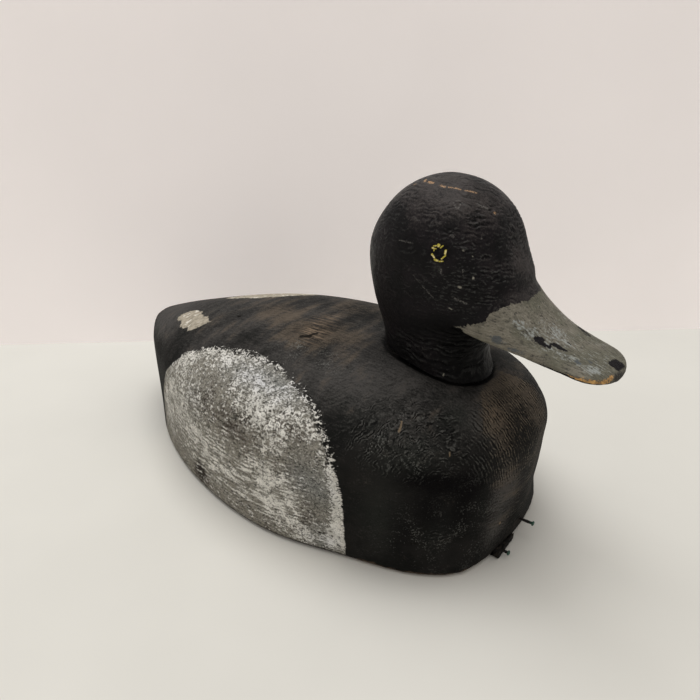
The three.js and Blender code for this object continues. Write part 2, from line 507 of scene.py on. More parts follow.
@dataclass
class DecoyBody(CarvedBlock):
    """The decoy's body, with its painted flank and its worn places."""

    foot: KDTree | None = None
    neck_centre: tuple[float, float] = (72.0, 0.2)
    neck_half: tuple[float, float, float] = (31.7, 30.4, 22.6)
    roundness: float = 2.3
    seat_margin: float = 3.4
    seat_from: float = 80.0
    seat_rounds: int = 260
    seam_margin: float = 5.0
    seam_from: float = 84.0
    seam_depth: float = 0.6
    edge_height: float = 5.0
    # How much lighter upward-facing surfaces are: worn paint and painted sheen.
    top_rub_and_sheen: float = 0.75
    patch_from: float = 60.0
    outside: float = -9.0
    left_run: float = 531.0
    flank_line: PaintLine = PaintLine(
        (
            (65.8, -68.6, -6), (66, -69.8, 15.4), (66.3, -71.3, 29.3), (65.9, -73.3, 45.6),
            (63.7, -74.3, 57.5), (59, -73.2, 65.2), (53, -69.8, 72.9), (44.3, -64.8, 79.5),
            (32.9, -60, 83.4), (22.2, -56.5, 85.1), (6.2, -51.5, 86.5), (-9, -49.7, 86.3),
            (-25.9, -49.5, 84.6), (-41.5, -50.5, 81.3), (-55.9, -51.9, 76.8), (-68.8, -53.9, 70.9),
            (-77, -57.7, 63.5), (-88, -56.4, 51), (-98, -52.2, 36), (-102, -50.2, 18),
            (-99, -51, -6),
        )
    )
    ridge_line: PaintLine = PaintLine(
        (
            (88, -4, 96), (104, -13, 88), (109, -19.5, 83.5), (114, -27, 77.7), (119, -32, 66),
            (120, -33, 52), (120.5, -33, 30), (120, -33, -6),
        )
    )
    pale_line: PaintLine = PaintLine(
        (
            (-101, 7, 80), (-88, 7, 83.5), (-72, 8.5, 86.5), (-58, 13, 89), (-47, 22, 90),
            (-40, 31, 89.5), (-52, 37, 86), (-70, 33, 82.5), (-86, 25, 80.5), (-98, 15, 79),
        ),
        closed=True,
    )
    bare_line: PaintLine = PaintLine(
        (
            (-112, -19.5, 73.5), (-113, -25, 71.3), (-101, -30, 73.6), (-95.5, -34, 73.8),
            (-82, -38, 76.8), (-73, -30.5, 81.8), (-84, -25, 81), (-95, -19, 78.6),
            (-104, -16.5, 76.8),
        ),
        closed=True,
    )

    def in_neck(self, x: float, y: float, margin: float) -> float:
        """Give how far a place lies from the middle of the neck's foot.

        Args:
            x: Place in millimetres.
            y: Place in millimetres.
            margin: How much wider than the foot the outline is taken.

        Returns:
            Less than 1 inside the outline.
        """
        back, front, half = self.neck_half
        x -= self.neck_centre[0]
        across = (y - self.neck_centre[1]) / (half + margin)
        along = x / ((front if x > 0.0 else back) + margin)
        return abs(across) ** self.roundness + abs(along) ** self.roundness

    def smoothed_areas(self, work: bmesh.types.BMesh) -> list[Area]:
        """Fill the seat up to the back's curve, then smooth all but the edge.

        Args:
            work: The fine mesh.

        Returns:
            The areas in the order in which they are smoothed.
        """
        seat, upper, lower = [], [], []
        for vert in work.verts:
            x, y, z = vert.co / MM
            if z > self.seat_from and self.in_neck(x, y, self.seat_margin) < 1.0:
                seat.append(vert)
            else:
                (upper if z > self.edge_height else lower).append(vert)
        rest = [(seat + upper, self.smoothing, False), (lower, 1, False)]
        return [(seat, self.seat_rounds, True), *rest]

    def seam(self, places: np.ndarray, width: float) -> np.ndarray:
        """Give 1 at the neck's foot, falling off to its sides.

        Args:
            places: Points in millimetres, one a row.
            width: The width in millimetres that it falls off within.

        Returns:
            One value a point.
        """
        near = np.zeros(len(places))
        for k in np.flatnonzero(places[:, 2] > self.seam_from):
            x, y, _ = places[k]
            if self.in_neck(x, y, self.seam_margin) < 1.0:
                distance = self.foot.find((x, y, 0.0))[2]
                near[k] = math.exp(-((distance / width) ** 2))
        return near

    def extra_lift(self, places: np.ndarray) -> np.ndarray:
        """Cut the fine groove where the neck's foot stands on the back."""
        return -self.seam_depth * self.seam(places, 0.9)

    def masks(self, places: np.ndarray, normals: np.ndarray) -> dict[str, np.ndarray]:
        """Work out the flank's edge, the worn, brown and pale places with painted sheen on top,
        and the painted shade.

        Args:
            places: Points in millimetres, one a row.
            normals: The surface's outward normals there.

        Returns:
            One value a point by the mask's name.
        """
        made = super().masks(places, normals)
        side = np.where(places[:, 1] > 0.0, -1.0, 1.0)
        near, turned = places.copy(), normals.copy()
        near[:, 1] *= side
        turned[:, 1] *= side
        inside, run = self.flank_line.measure(near, turned)
        made["flank_inside"] = inside
        made["flank_run"] = run + np.where(side < 0.0, self.left_run, 0.0)
        bare, _ = self.bare_line.measure(places, normals)
        pale, _ = self.pale_line.measure(places, normals)
        above = places[:, 2] > self.patch_from
        made["bare_inside"] = np.where(above, np.maximum(bare, pale), self.outside)
        front, _ = self.ridge_line.measure(near, turned)
        front = ease(front, -1.0, 1.2)
        # Upward-facing surfaces lighter: worn paint and painted sheen from the overhead light.
        uneven = 0.75 + 0.5 * wander(places, 26.0, 14.0)
        made["rub"] += self.top_rub_and_sheen * ease(normals[:, 2], 0.25, 0.97) * uneven
        made["rub"] += front * made.pop("front_rub")
        # Painted shade along the neck's seam joins the painted shade of the breast's hollows; the
        # rubbed places lose their lightness there.
        made["painted_shade"] = np.clip(made["painted_shade"] + 0.9 * self.seam(places, 0.7), 0.0, 1.0)
        made["rub"] = np.clip(made["rub"] - made["painted_shade"], 0.0, 1.0)
        made["brown"] += front * made.pop("front_brown")
        made["slate"] *= 1.0 - front * ease(places[:, 0], 92.0, 100.0)
        return made


@dataclass
class DecoyHead(CarvedBlock):
    """The neck, head and bill, carved from one block."""

    bill_line: PaintLine = PaintLine(
        (
            (98.2, -25.5, 125.2), (102, -25.7, 128), (108.8, -24.8, 131.2), (110.6, -23.6, 134.6),
            (112.2, -22, 136.9), (117.5, -15, 138.9), (120.5, -7.2, 138.9), (120.3, 1.4, 139.6),
            (117.8, 11.5, 139), (111, 20.5, 135.9), (108, 23.4, 131.6), (101, 24, 127),
            (97.5, 23.4, 124.6), (103, 16, 122), (106.5, 0, 121.4), (104, -18, 122),
        ),
        closed=True,
        turn=Turn.RIGHT,
    )
    # How much lighter upward-facing surfaces above the cheek are: worn paint and painted sheen.
    top_wear_and_sheen: float = 0.85
    wear_and_sheen_from: float = 125.0
    foot_height: float = 95.5
    throat: tuple[float, float] = (108.0, 120.8)
    bill_from: float = 95.0

    def smoothed_areas(self, work: bmesh.types.BMesh) -> list[Area]:
        """Smooth the head well, but keep the crisp edge of the neck's foot.

        Args:
            work: The fine mesh.

        Returns:
            The areas in the order in which they are smoothed.
        """
        foot = [vert for vert in work.verts if vert.co.z < self.foot_height * MM]
        rest = [vert for vert in work.verts if vert.co.z >= self.foot_height * MM]
        return [(rest, self.smoothing, False), (foot, 2, False)]

    def masks(self, places: np.ndarray, normals: np.ndarray) -> dict[str, np.ndarray]:
        """Work out the bill's paint line, the head's worn places with painted sheen on top, and
        its painted shade.

        Args:
            places: Points in millimetres, one a row.
            normals: The surface's outward normals there.

        Returns:
            One value a point by the mask's name.
        """
        made = super().masks(places, normals)
        inside, made["bill_run"] = self.bill_line.measure(places, normals)
        above = np.where(places[:, 0] < self.throat[0], places[:, 2] - self.throat[1], np.inf)
        ahead = places[:, 0] - self.bill_from
        made["bill_inside"] = np.minimum(inside, np.minimum(above, ahead))
        # Upward-facing surfaces lighter: worn paint and painted sheen from the overhead light,
        # none in the painted shade.
        uneven = 0.8 + 0.4 * wander(places, 16.0, 14.0)
        upward = ease(normals[:, 2], 0.15, 0.95) * (places[:, 2] > self.wear_and_sheen_from)
        wear_and_sheen = self.top_wear_and_sheen * upward * uneven + made["wear_and_sheen"]
        made["wear_and_sheen"] = np.clip(wear_and_sheen * (1.0 - made["painted_shade"]), 0.0, 1.0)
        return made


def neck_foot(head: bpy.types.Object) -> KDTree:
    """Gather the neck's lowest points, flat on the ground plane.

    The foot's plane slopes, so that it is higher at the back.

    Args:
        head: The finished head.

    Returns:
        The points, ready to be searched.
    """
    front, height, slope, thick, top = 96.0, 91.3, 0.16, 2.0, 102.0
    places, _ = points_and_normals(head.data)
    above = places[:, 2] - height - slope * (front - places[:, 0])
    low = places[(above > 0.0) & (above < thick) & (places[:, 2] < top)]
    tree = KDTree(len(low))
    for k, (x, y, _) in enumerate(low):
        tree.insert((x, y, 0.0), k)
    tree.balance()
    return tree


# Strap and nails


@dataclass
class StrapEnd:
    """The short strap end at the bow, torn at its ends and bent a little."""

    node: str = "line_strap"
    name: str = "anchor_strap"
    slot: str = "strap_leather"
    voxel: float = 0.22
    lowest: float = 0.2

    def build(self, material: bpy.types.Material) -> bpy.types.Object:
        """Refine the frame's strap and roughen it.

        Args:
            material: The strap's finish.

        Returns:
            The finished strap.
        """
        piece = fine_copy(self.node, self.name, self.voxel)
        places, normals = points_and_normals(piece.data)
        lift = 0.45 * wander(places, 2.6, 1.0) + 0.14 * wander(places, 0.8, 4.0) - 0.3
        moved = places + normals * lift[:, None]
        moved[:, 2] = np.maximum(moved[:, 2], self.lowest)
        set_points(piece.data, moved)
        return hand_over(piece, self.node, material)


@dataclass
class RoundNail:
    """A tarnished round nail with a domed head, which replaces a plain one."""

    node: str
    name: str
    slot: str = "tarnished_nail"
    shank: float = 0.8
    head: float = 1.4
    head_thick: float = 1.0
    bend: float = 0.0
    rings: int = 7
    sides: int = 28
    dome: tuple[tuple[float, float], ...] = (
        (0.9, 0.02), (1.0, 0.25), (0.97, 0.55), (0.72, 0.85), (0.36, 0.97)
    )

    def outline(self, length: float) -> list[tuple[float, float]]:
        """Give the nail's outline from its foot to the top of its head.

        Args:
            length: The nail's length in millimetres.

        Returns:
            The distance from the axis and along it, in millimetres.
        """
        neck = length - self.head_thick
        line = [(0.0, 0.0), (self.shank * 0.94, 0.0)]
        for k in range(self.rings):
            thin = 0.05 * math.sin(9.0 * k / self.rings)
            line.append((self.shank * (1.0 - thin), neck * (k + 1) / (self.rings + 1)))
        line.append((self.shank, neck))
        line += [(self.head * wide, neck + self.head_thick * high) for wide, high in self.dome]
        return line + [(0.0, length)]

    def build(self, material: bpy.types.Material) -> bpy.types.Object:
        """Spin the nail's outline round its axis, along +X.

        Args:
            material: The nail's finish.

        Returns:
            The finished nail.
        """
        low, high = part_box(self.node)
        middle = (low + high) / 2.0
        length = high.x - low.x
        work = bmesh.new()
        line = self.outline(length / MM)
        verts = [work.verts.new((along * MM, 0.0, radius * MM)) for radius, along in line]
        edges = [work.edges.new(pair) for pair in zip(verts[:-1], verts[1:])]
        bmesh.ops.spin(
            work,
            geom=verts + edges,
            cent=ORIGIN,
            axis=(1.0, 0.0, 0.0),
            angle=2.0 * math.pi,
            steps=self.sides,
            use_merge=True,
        )
        bmesh.ops.remove_doubles(work, verts=work.verts, dist=TINY)
        bmesh.ops.recalc_face_normals(work, faces=work.faces)
        for vert in work.verts:
            vert.co.z += self.bend * MM * (vert.co.x / length) ** 2
            vert.co += Vector((low.x, middle.y, middle.z))
        piece = linked_object(self.name, work)
        places, _ = points_and_normals(piece.data)
        store(piece.data, "nail_share", (places[:, 0] * MM - low.x) / length)
        return hand_over(piece, self.node, material)


# Shader graphs


class Graph:
    """Adds nodes to the tree of a material or of a node group."""

    def __init__(self, tree: bpy.types.NodeTree) -> None:
        """Keep the tree that nodes are added to."""
        self.tree = tree

    def feed(self, socket: Socket, value: Value) -> None:
        """Link a socket into another, or set its value.

        Args:
            socket: The input.
            value: A socket, a number, a vector or a colour.
        """
        if isinstance(value, bpy.types.NodeSocket):
            self.tree.links.new(value, socket)
        elif socket.type == "RGBA" and len(value) == 3:
            socket.default_value = (*value, 1.0)
        else:
            socket.default_value = value

    def node(self, kind: str, inputs: dict[str | int, Value], **own: object) -> bpy.types.Node:
        """Add a node.

        Args:
            kind: Blender's name of the node type, without ShaderNode.
            inputs: Values or sockets by the input's name or number.
            **own: The node's own properties.

        Returns:
            The new node.
        """
        made = self.tree.nodes.new("ShaderNode" + kind)
        for key, value in own.items():
            setattr(made, key, value)
        for key, value in inputs.items():
            self.feed(made.inputs[key], value)
        return made

    def math(self, operation: str, *values: Value) -> Socket:
        """Add a Math node and give its result."""
        return self.node("Math", dict(enumerate(values)), operation=operation).outputs[0]

    def times(self, *values: Value) -> Socket:
        """Multiply values in turn."""
        return reduce(lambda first, second: self.math("MULTIPLY", first, second), values)

    def plus(self, *values: Value) -> Socket:
        """Add up values in turn."""
        return reduce(lambda first, second: self.math("ADD", first, second), values)

    def fused(self, value: Value, factor: Value, base: Value) -> Socket:
        """Multiply a value by a factor and add a base to it."""
        return self.math("MULTIPLY_ADD", value, factor, base)

    def vector(self, operation: str, *values: Value) -> Socket:
        """Add a Vector Math node and give its vector or its number."""
        made = self.node("VectorMath", dict(enumerate(values)), operation=operation)
        return made.outputs["Value" if operation in {"DOT_PRODUCT", "DISTANCE"} else "Vector"]

    def scaled(self, vector: Value, scale: Value) -> Socket:
        """Multiply a vector by one number."""
        made = self.node("VectorMath", {0: vector, "Scale": scale}, operation="SCALE")
        return made.outputs["Vector"]

    def xyz(self, x: Value, y: Value, z: Value) -> Socket:
        """Put three numbers together."""
        return self.node("CombineXYZ", {0: x, 1: y, 2: z}).outputs[0]

    def parts(self, vector: Value) -> bpy.types.NodeOutputs:
        """Take a vector apart into X, Y and Z."""
        return self.node("SeparateXYZ", {0: vector}).outputs

    def step(self, value: Value, low: Value, high: Value) -> Socket:
        """Go smoothly from 0 at low to 1 at high."""
        inputs = {"Value": value, "From Min": low, "From Max": high}
        return self.node("MapRange", inputs, interpolation_type="SMOOTHSTEP").outputs["Result"]

    def span(self, value: Value, *ends: float) -> Socket:
        """Carry a value from the first two ends to the other two, held there."""
        inputs = dict(zip(("From Min", "From Max", "To Min", "To Max"), ends))
        return self.node("MapRange", inputs | {"Value": value}, clamp=True).outputs["Result"]

    def noise(
        self,
        place: Value,
        size: Value,
        detail: float = 2.0,
        rough: float = 0.5,
        distortion: float = 0.0,
        output: str = "Fac",
    ) -> Socket:
        """Add a noise.

        Args:
            place: The place in millimetres.
            size: Size of its lumps in millimetres.
            detail: How many finer layers it has.
            rough: How strong the finer layers are.
            distortion: How much it is twisted.
            output: Fac for a number, Color for three.

        Returns:
            The noise, from 0 to 1.
        """
        scale = 1.0 / size if isinstance(size, float) else self.math("DIVIDE", 1.0, size)
        inputs = {"Vector": place, "Scale": scale, "Detail": detail}
        inputs |= {"Roughness": rough, "Distortion": distortion}
        return self.node("TexNoise", inputs).outputs[output]

    def blend(self, share: Value, low: Value, high: Value) -> Socket:
        """Mix two colours."""
        return self.node("Mix", {0: share, 6: low, 7: high}, data_type="RGBA").outputs[2]

    def lay(self, under: Value, tone: Value, *masks: Value) -> Socket:
        """Lay a colour over another where all the masks show."""
        return self.blend(self.times(*masks), under, tone)

    def mixed(self, share: Value, low: Value, high: Value) -> Socket:
        """Mix two numbers."""
        return self.node("Mix", {0: share, 2: low, 3: high}).outputs[0]

    def darker(self, colour: Socket, share: float) -> Socket:
        """Keep a share of a colour's light."""
        return self.blend(1.0 - share, colour, ORIGIN)

    def centred(self, value: Value, gain: float) -> Socket:
        """Stretch a 0 to 1 value about its middle, which becomes 0."""
        return self.times(self.math("SUBTRACT", value, 0.5), gain)

    def turned(self, place: Value, degrees: float) -> Socket:
        """Turn a place about the upright axis."""
        inputs = {"Vector": place, "Axis": (0.0, 0.0, 1.0), "Angle": math.radians(degrees)}
        return self.node("VectorRotate", inputs, rotation_type="AXIS_ANGLE").outputs[0]

    def shaken(self, place: Value, amount: float, size: float) -> Socket:
        """Shift a place at random, so that straight edges turn uneven.

        Args:
            place: The place in millimetres.
            amount: Range of the shift in millimetres.
            size: Size of the noise's lumps in millimetres.

        Returns:
            The shifted place.
        """
        drift = self.noise(place, size, 1.0, output="Color")
        back = self.vector("SUBTRACT", place, (amount / 2.0,) * 3)
        return self.vector("MULTIPLY_ADD", drift, (amount,) * 3, back)

    def mask(self, name: str, output: str = "Fac") -> Socket:
        """Read an attribute of the mesh, as a number or as a vector."""
        return self.node("Attribute", {}, attribute_name=name).outputs[output]

    def millimetres(self) -> Socket:
        """Give the place on the object in millimetres."""
        return self.scaled(self.node("TexCoord", {}).outputs["Object"], 1.0 / MM)


class Kind(Enum):
    """What a socket of a node group carries."""

    NUMBER = "NodeSocketFloat"
    VECTOR = "NodeSocketVector"
    COLOUR = "NodeSocketColor"

    @staticmethod
    def of(value: float | tuple[float, ...]) -> "Kind":
        """Tell the kind from an input's default value."""
        if isinstance(value, float):
            return Kind.NUMBER
        return Kind.VECTOR if len(value) == 3 else Kind.COLOUR


class Effect:
    """A node group that several finishes share, built on its first use."""

    title = ""
    takes: dict[str, float | tuple[float, ...]] = {}
    gives: dict[str, Kind] = {"Mask": Kind.NUMBER}

    def build(self, graph: Graph, given: dict[str, Socket]) -> dict[str, Socket]:
        """Add the group's nodes.

        Args:
            graph: The group's graph.
            given: The group's inputs by name.

        Returns:
            The group's results by name.
        """
        raise NotImplementedError

    def tree(self) -> bpy.types.NodeTree:
        """Give the node group, made once.

        Returns:
            The group.
        """
        made = bpy.data.node_groups.get(self.title)
        if made is not None:
            return made
        made = bpy.data.node_groups.new(self.title, "ShaderNodeTree")
        face = made.interface
        for name, default in self.takes.items():
            kind = Kind.of(default).value
            face.new_socket(name=name, in_out="INPUT", socket_type=kind).default_value = default
        for name, kind in self.gives.items():
            face.new_socket(name=name, in_out="OUTPUT", socket_type=kind.value)
        start = made.nodes.new("NodeGroupInput")
        end = made.nodes.new("NodeGroupOutput")
        results = self.build(Graph(made), {name: start.outputs[name] for name in self.takes})
        for name, socket in results.items():
            made.links.new(socket, end.inputs[name])
        return made

    def place(self, graph: Graph, **values: Value) -> dict[str, Socket]:
        """Put the group into a graph.

        Args:
            graph: The graph of a material or of another group.
            **values: The group's inputs by name.

        Returns:
            The group's results by name.
        """
        made = graph.node("Group", {}, node_tree=self.tree())
        for name, value in values.items():
            graph.feed(made.inputs[name], value)
        return {name: made.outputs[name] for name in self.gives}


class RaspStrokes(Effect):
    """The grooves that the mesh's stroke attributes describe."""

    title = "Rasp strokes"
    takes = {"Place": ORIGIN, "Phase": ORIGIN, "Depth": ORIGIN}
    gives = {"Height": Kind.NUMBER, "Crest": Kind.NUMBER, "Amount": Kind.NUMBER}
    least_depth = 0.08

    def build(self, graph: Graph, given: dict[str, Socket]) -> dict[str, Socket]:
        """Turn the groove counts into waves.

        Args:
            graph: The group's graph.
            given: The group's inputs by name.

        Returns:
            The height in millimetres, a crest from 0 to 1, and how strongly
            the strokes show.
        """
        place, depth = given["Place"], given["Depth"]
        fray = graph.centred(graph.noise(place, 1.2), 0.8)
        turns = graph.vector("ADD", given["Phase"], graph.xyz(fray, fray, fray))
        waves = graph.vector("SINE", graph.scaled(turns, 2.0 * math.pi))
        gate = graph.step(graph.noise(place, 3.0), 0.38, 0.54)
        height = graph.vector("DOT_PRODUCT", waves, depth)
        total = graph.vector("DOT_PRODUCT", depth, (1.0, 1.0, 1.0))
        share = graph.math("DIVIDE", height, graph.math("MAXIMUM", total, self.least_depth))
        return {
            "Height": graph.times(height, graph.span(gate, 0.0, 1.0, 0.12, 0.5)),
            "Crest": graph.fused(graph.times(share, gate), 0.5, 0.5),
            "Amount": graph.math("MINIMUM", graph.times(total, 3.0, gate), 1.0),
        }


class RaggedEdge(Effect):
    """A paint edge that a brush left: uneven, with short bristle strokes."""

    title = "Ragged edge"
    takes = {
        "Place": ORIGIN, "Inside": 0.0, "Run": 0.0, "Waver": 1.0, "Bristle": 1.0, "Softness": 0.25
    }

    def build(self, graph: Graph, given: dict[str, Socket]) -> dict[str, Socket]:
        """Shift the edge by a wavering and by bristles that cross it.

        Args:
            graph: The group's graph.
            given: The group's inputs by name.

        Returns:
            The painted side's mask.
        """
        inside, soft = given["Inside"], given["Softness"]
        waver = graph.centred(graph.noise(given["Place"], 4.5, 3.0, 0.6), 1.0)
        comb = graph.xyz(given["Run"], graph.times(inside, 0.45), 0.0)
        bristle = graph.centred(graph.noise(comb, 1.25, 2.0, 0.6), 1.0)
        moved = graph.fused(waver, given["Waver"], inside)
        moved = graph.fused(bristle, given["Bristle"], moved)
        return {"Mask": graph.step(moved, graph.times(soft, -1.0), soft)}


class Flecks(Effect):
    """Small chips and specks, scattered at random."""

    title = "Flecks"
    takes = {"Place": ORIGIN, "Size": 1.0, "Share": 0.1}

    def build(self, graph: Graph, given: dict[str, Socket]) -> dict[str, Socket]:
        """Cut a fine noise off high, where a wider noise lets it.

        Args:
            graph: The group's graph.
            given: The group's inputs by name.

        Returns:
            The flecks' mask.
        """
        fine = graph.noise(given["Place"], given["Size"], 2.0, 0.6)
        area = graph.noise(given["Place"], 13.0)
        limit = graph.math("SUBTRACT", 0.92, graph.times(given["Share"], area))
        return {"Mask": graph.step(fine, limit, graph.plus(limit, 0.05))}


class BrushDrag(Effect):
    """Fine streaks that a brush or a rub leaves along one direction."""

    title = "Brush drag"
    takes = {"Place": ORIGIN, "Stretch": (0.15, 1.0, 1.0), "Size": 1.0}
    gives = {"Streak": Kind.NUMBER}

    def build(self, graph: Graph, given: dict[str, Socket]) -> dict[str, Socket]:
        """Squeeze a noise along the stroke's direction.

        Args:
            graph: The group's graph.
            given: The group's inputs by name.

        Returns:
            The streaks, from 0 to 1.
        """
        place = graph.vector("MULTIPLY", given["Place"], given["Stretch"])
        return {"Streak": graph.noise(place, given["Size"], 3.0, 0.6)}


def streaks(graph: Graph, place: Value, along: float, size: float, across: float = 1.0) -> Socket:
    """Give streaks along X, the longer the smaller along is."""
    stretch = (along, across, 1.0)
    return BrushDrag().place(graph, Place=place, Stretch=stretch, Size=size)["Streak"]


class Dab(Effect):
    """A painted dab or a scratch: all that lies near a short straight line."""

    title = "Dab"
    takes = {
        "Place": ORIGIN, "Start": ORIGIN, "End": (1.0, 0.0, 0.0), "Width": 1.0, "Softness": 0.15
    }

    def build(self, graph: Graph, given: dict[str, Socket]) -> dict[str, Socket]:
        """Measure the distance to the line and cut it off at the width.

        Args:
            graph: The group's graph.
            given: The group's inputs by name.

        Returns:
            The dab's mask.
        """
        leg = graph.vector("SUBTRACT", given["End"], given["Start"])
        away = graph.vector("SUBTRACT", given["Place"], given["Start"])
        square = graph.math("MAXIMUM", graph.vector("DOT_PRODUCT", leg, leg), TINY)
        share = graph.math("DIVIDE", graph.vector("DOT_PRODUCT", away, leg), square)
        share = graph.node("Clamp", {0: share}).outputs[0]
        distance = graph.vector("DISTANCE", away, graph.scaled(leg, share))
        half = graph.times(given["Width"], 0.5)
        inner = graph.math("SUBTRACT", half, given["Softness"])
        return {"Mask": graph.step(distance, graph.plus(half, given["Softness"]), inner)}


class BareWood(Effect):
    """Old wood where the paint has gone: tan, with darker grain along X."""

    title = "Bare wood"
    takes = {"Place": ORIGIN, "Light": (0.42, 0.3, 0.18, 1.0), "Dark": (0.2, 0.13, 0.08, 1.0)}
    gives = {"Colour": Kind.COLOUR, "Grain": Kind.NUMBER}

    def build(self, graph: Graph, given: dict[str, Socket]) -> dict[str, Socket]:
        """Mix the two tones by grain lines and by pores.

        Args:
            graph: The group's graph.
            given: The group's inputs by name.

        Returns:
            The wood's colour and its grain.
        """
        lines = streaks(graph, given["Place"], 0.06, 1.6)
        grain = graph.fused(streaks(graph, given["Place"], 0.2, 0.45), 0.4, lines)
        colour = graph.blend(graph.step(grain, 0.5, 0.9), given["Dark"], given["Light"])
        return {"Colour": colour, "Grain": grain}


@dataclass(frozen=True)
class Mark:
    """One painted dab or scratch of a finish."""

    start: Point
    end: Point
    width: float
    softness: float


def marks(*rows: tuple[float, ...]) -> tuple[Mark, ...]:
    """Make marks from rows of a start, an end, a width and a softness."""
    return tuple(Mark(row[:3], row[3:6], row[6], row[7]) for row in rows)


def side_marks(softness: float, *rows: tuple[float, ...]) -> tuple[Mark, ...]:
    """Make marks seen from the side, from rows of X, Z, X, Z and a width."""
    return tuple(Mark((a, 0.0, b), (c, 0.0, d), width, softness) for a, b, c, d, width in rows)


def marks_mask(graph: Graph, place: Value, drawn: tuple[Mark, ...], flat: Flat) -> Socket:
    """Put several marks into one mask.

    Args:
        graph: The material's graph.
        place: The place in millimetres.
        drawn: The marks.
        flat: The directions in which distance counts.

    Returns:
        1 on the marks.
    """
    seen = graph.vector("MULTIPLY", place, flat.value)
    total: Value = 0.0
    for mark in drawn:
        start, end = (tuple(np.multiply(p, flat.value)) for p in (mark.start, mark.end))
        made = Dab().place(
            graph, Place=seen, Start=start, End=end, Width=mark.width, Softness=mark.softness
        )
        total = graph.math("MAXIMUM", total, made["Mask"])
    return total


def new_material(name: str) -> tuple[bpy.types.Material, Graph, bpy.types.Node]:
    """Make a material.

    Args:
        name: The material's name.

    Returns:
        The material, its graph and its main shader.
    """
    material = bpy.data.materials.new(name)
    material.use_nodes = True
    return material, Graph(material.node_tree), material.node_tree.nodes["Principled BSDF"]


# Finishes


@dataclass(frozen=True)
class Finish:
    """A material with one shader, which a subclass paints."""

    name: str = ""
    gloss: float = 0.04
    bump: float = 1.0
    bump_depth: float = 1.0

    def coat(self, graph: Graph, place: Socket) -> dict[str, Socket]:
        """Paint the surface.

        Args:
            graph: The material's graph.
            place: The place in millimetres.

        Returns:
            What the shader's inputs are fed, and the Height of its bump.
        """
        raise NotImplementedError

    def build(self) -> bpy.types.Material:
        """Build the material.

        Returns:
            The material.
        """
        material, graph, shader = new_material(self.name)
        shader.inputs["Specular IOR Level"].default_value = self.gloss
        fed = self.coat(graph, graph.millimetres())
        relief = {"Strength": self.bump, "Distance": self.bump_depth * MM}
        bump = graph.node("Bump", relief | {"Height": fed.pop("Height")})
        for name, value in {**fed, "Normal": bump.outputs["Normal"]}.items():
            graph.feed(shader.inputs[name], value)
        return material


def rasped(graph: Graph, place: Socket) -> dict[str, Socket]:
    """Place the rasp strokes that the mesh's attributes describe."""
    phase, depth = (graph.mask(name, "Vector") for name in ("stroke_phase", "stroke_depth"))
    return RaspStrokes().place(graph, Place=place, Phase=phase, Depth=depth)


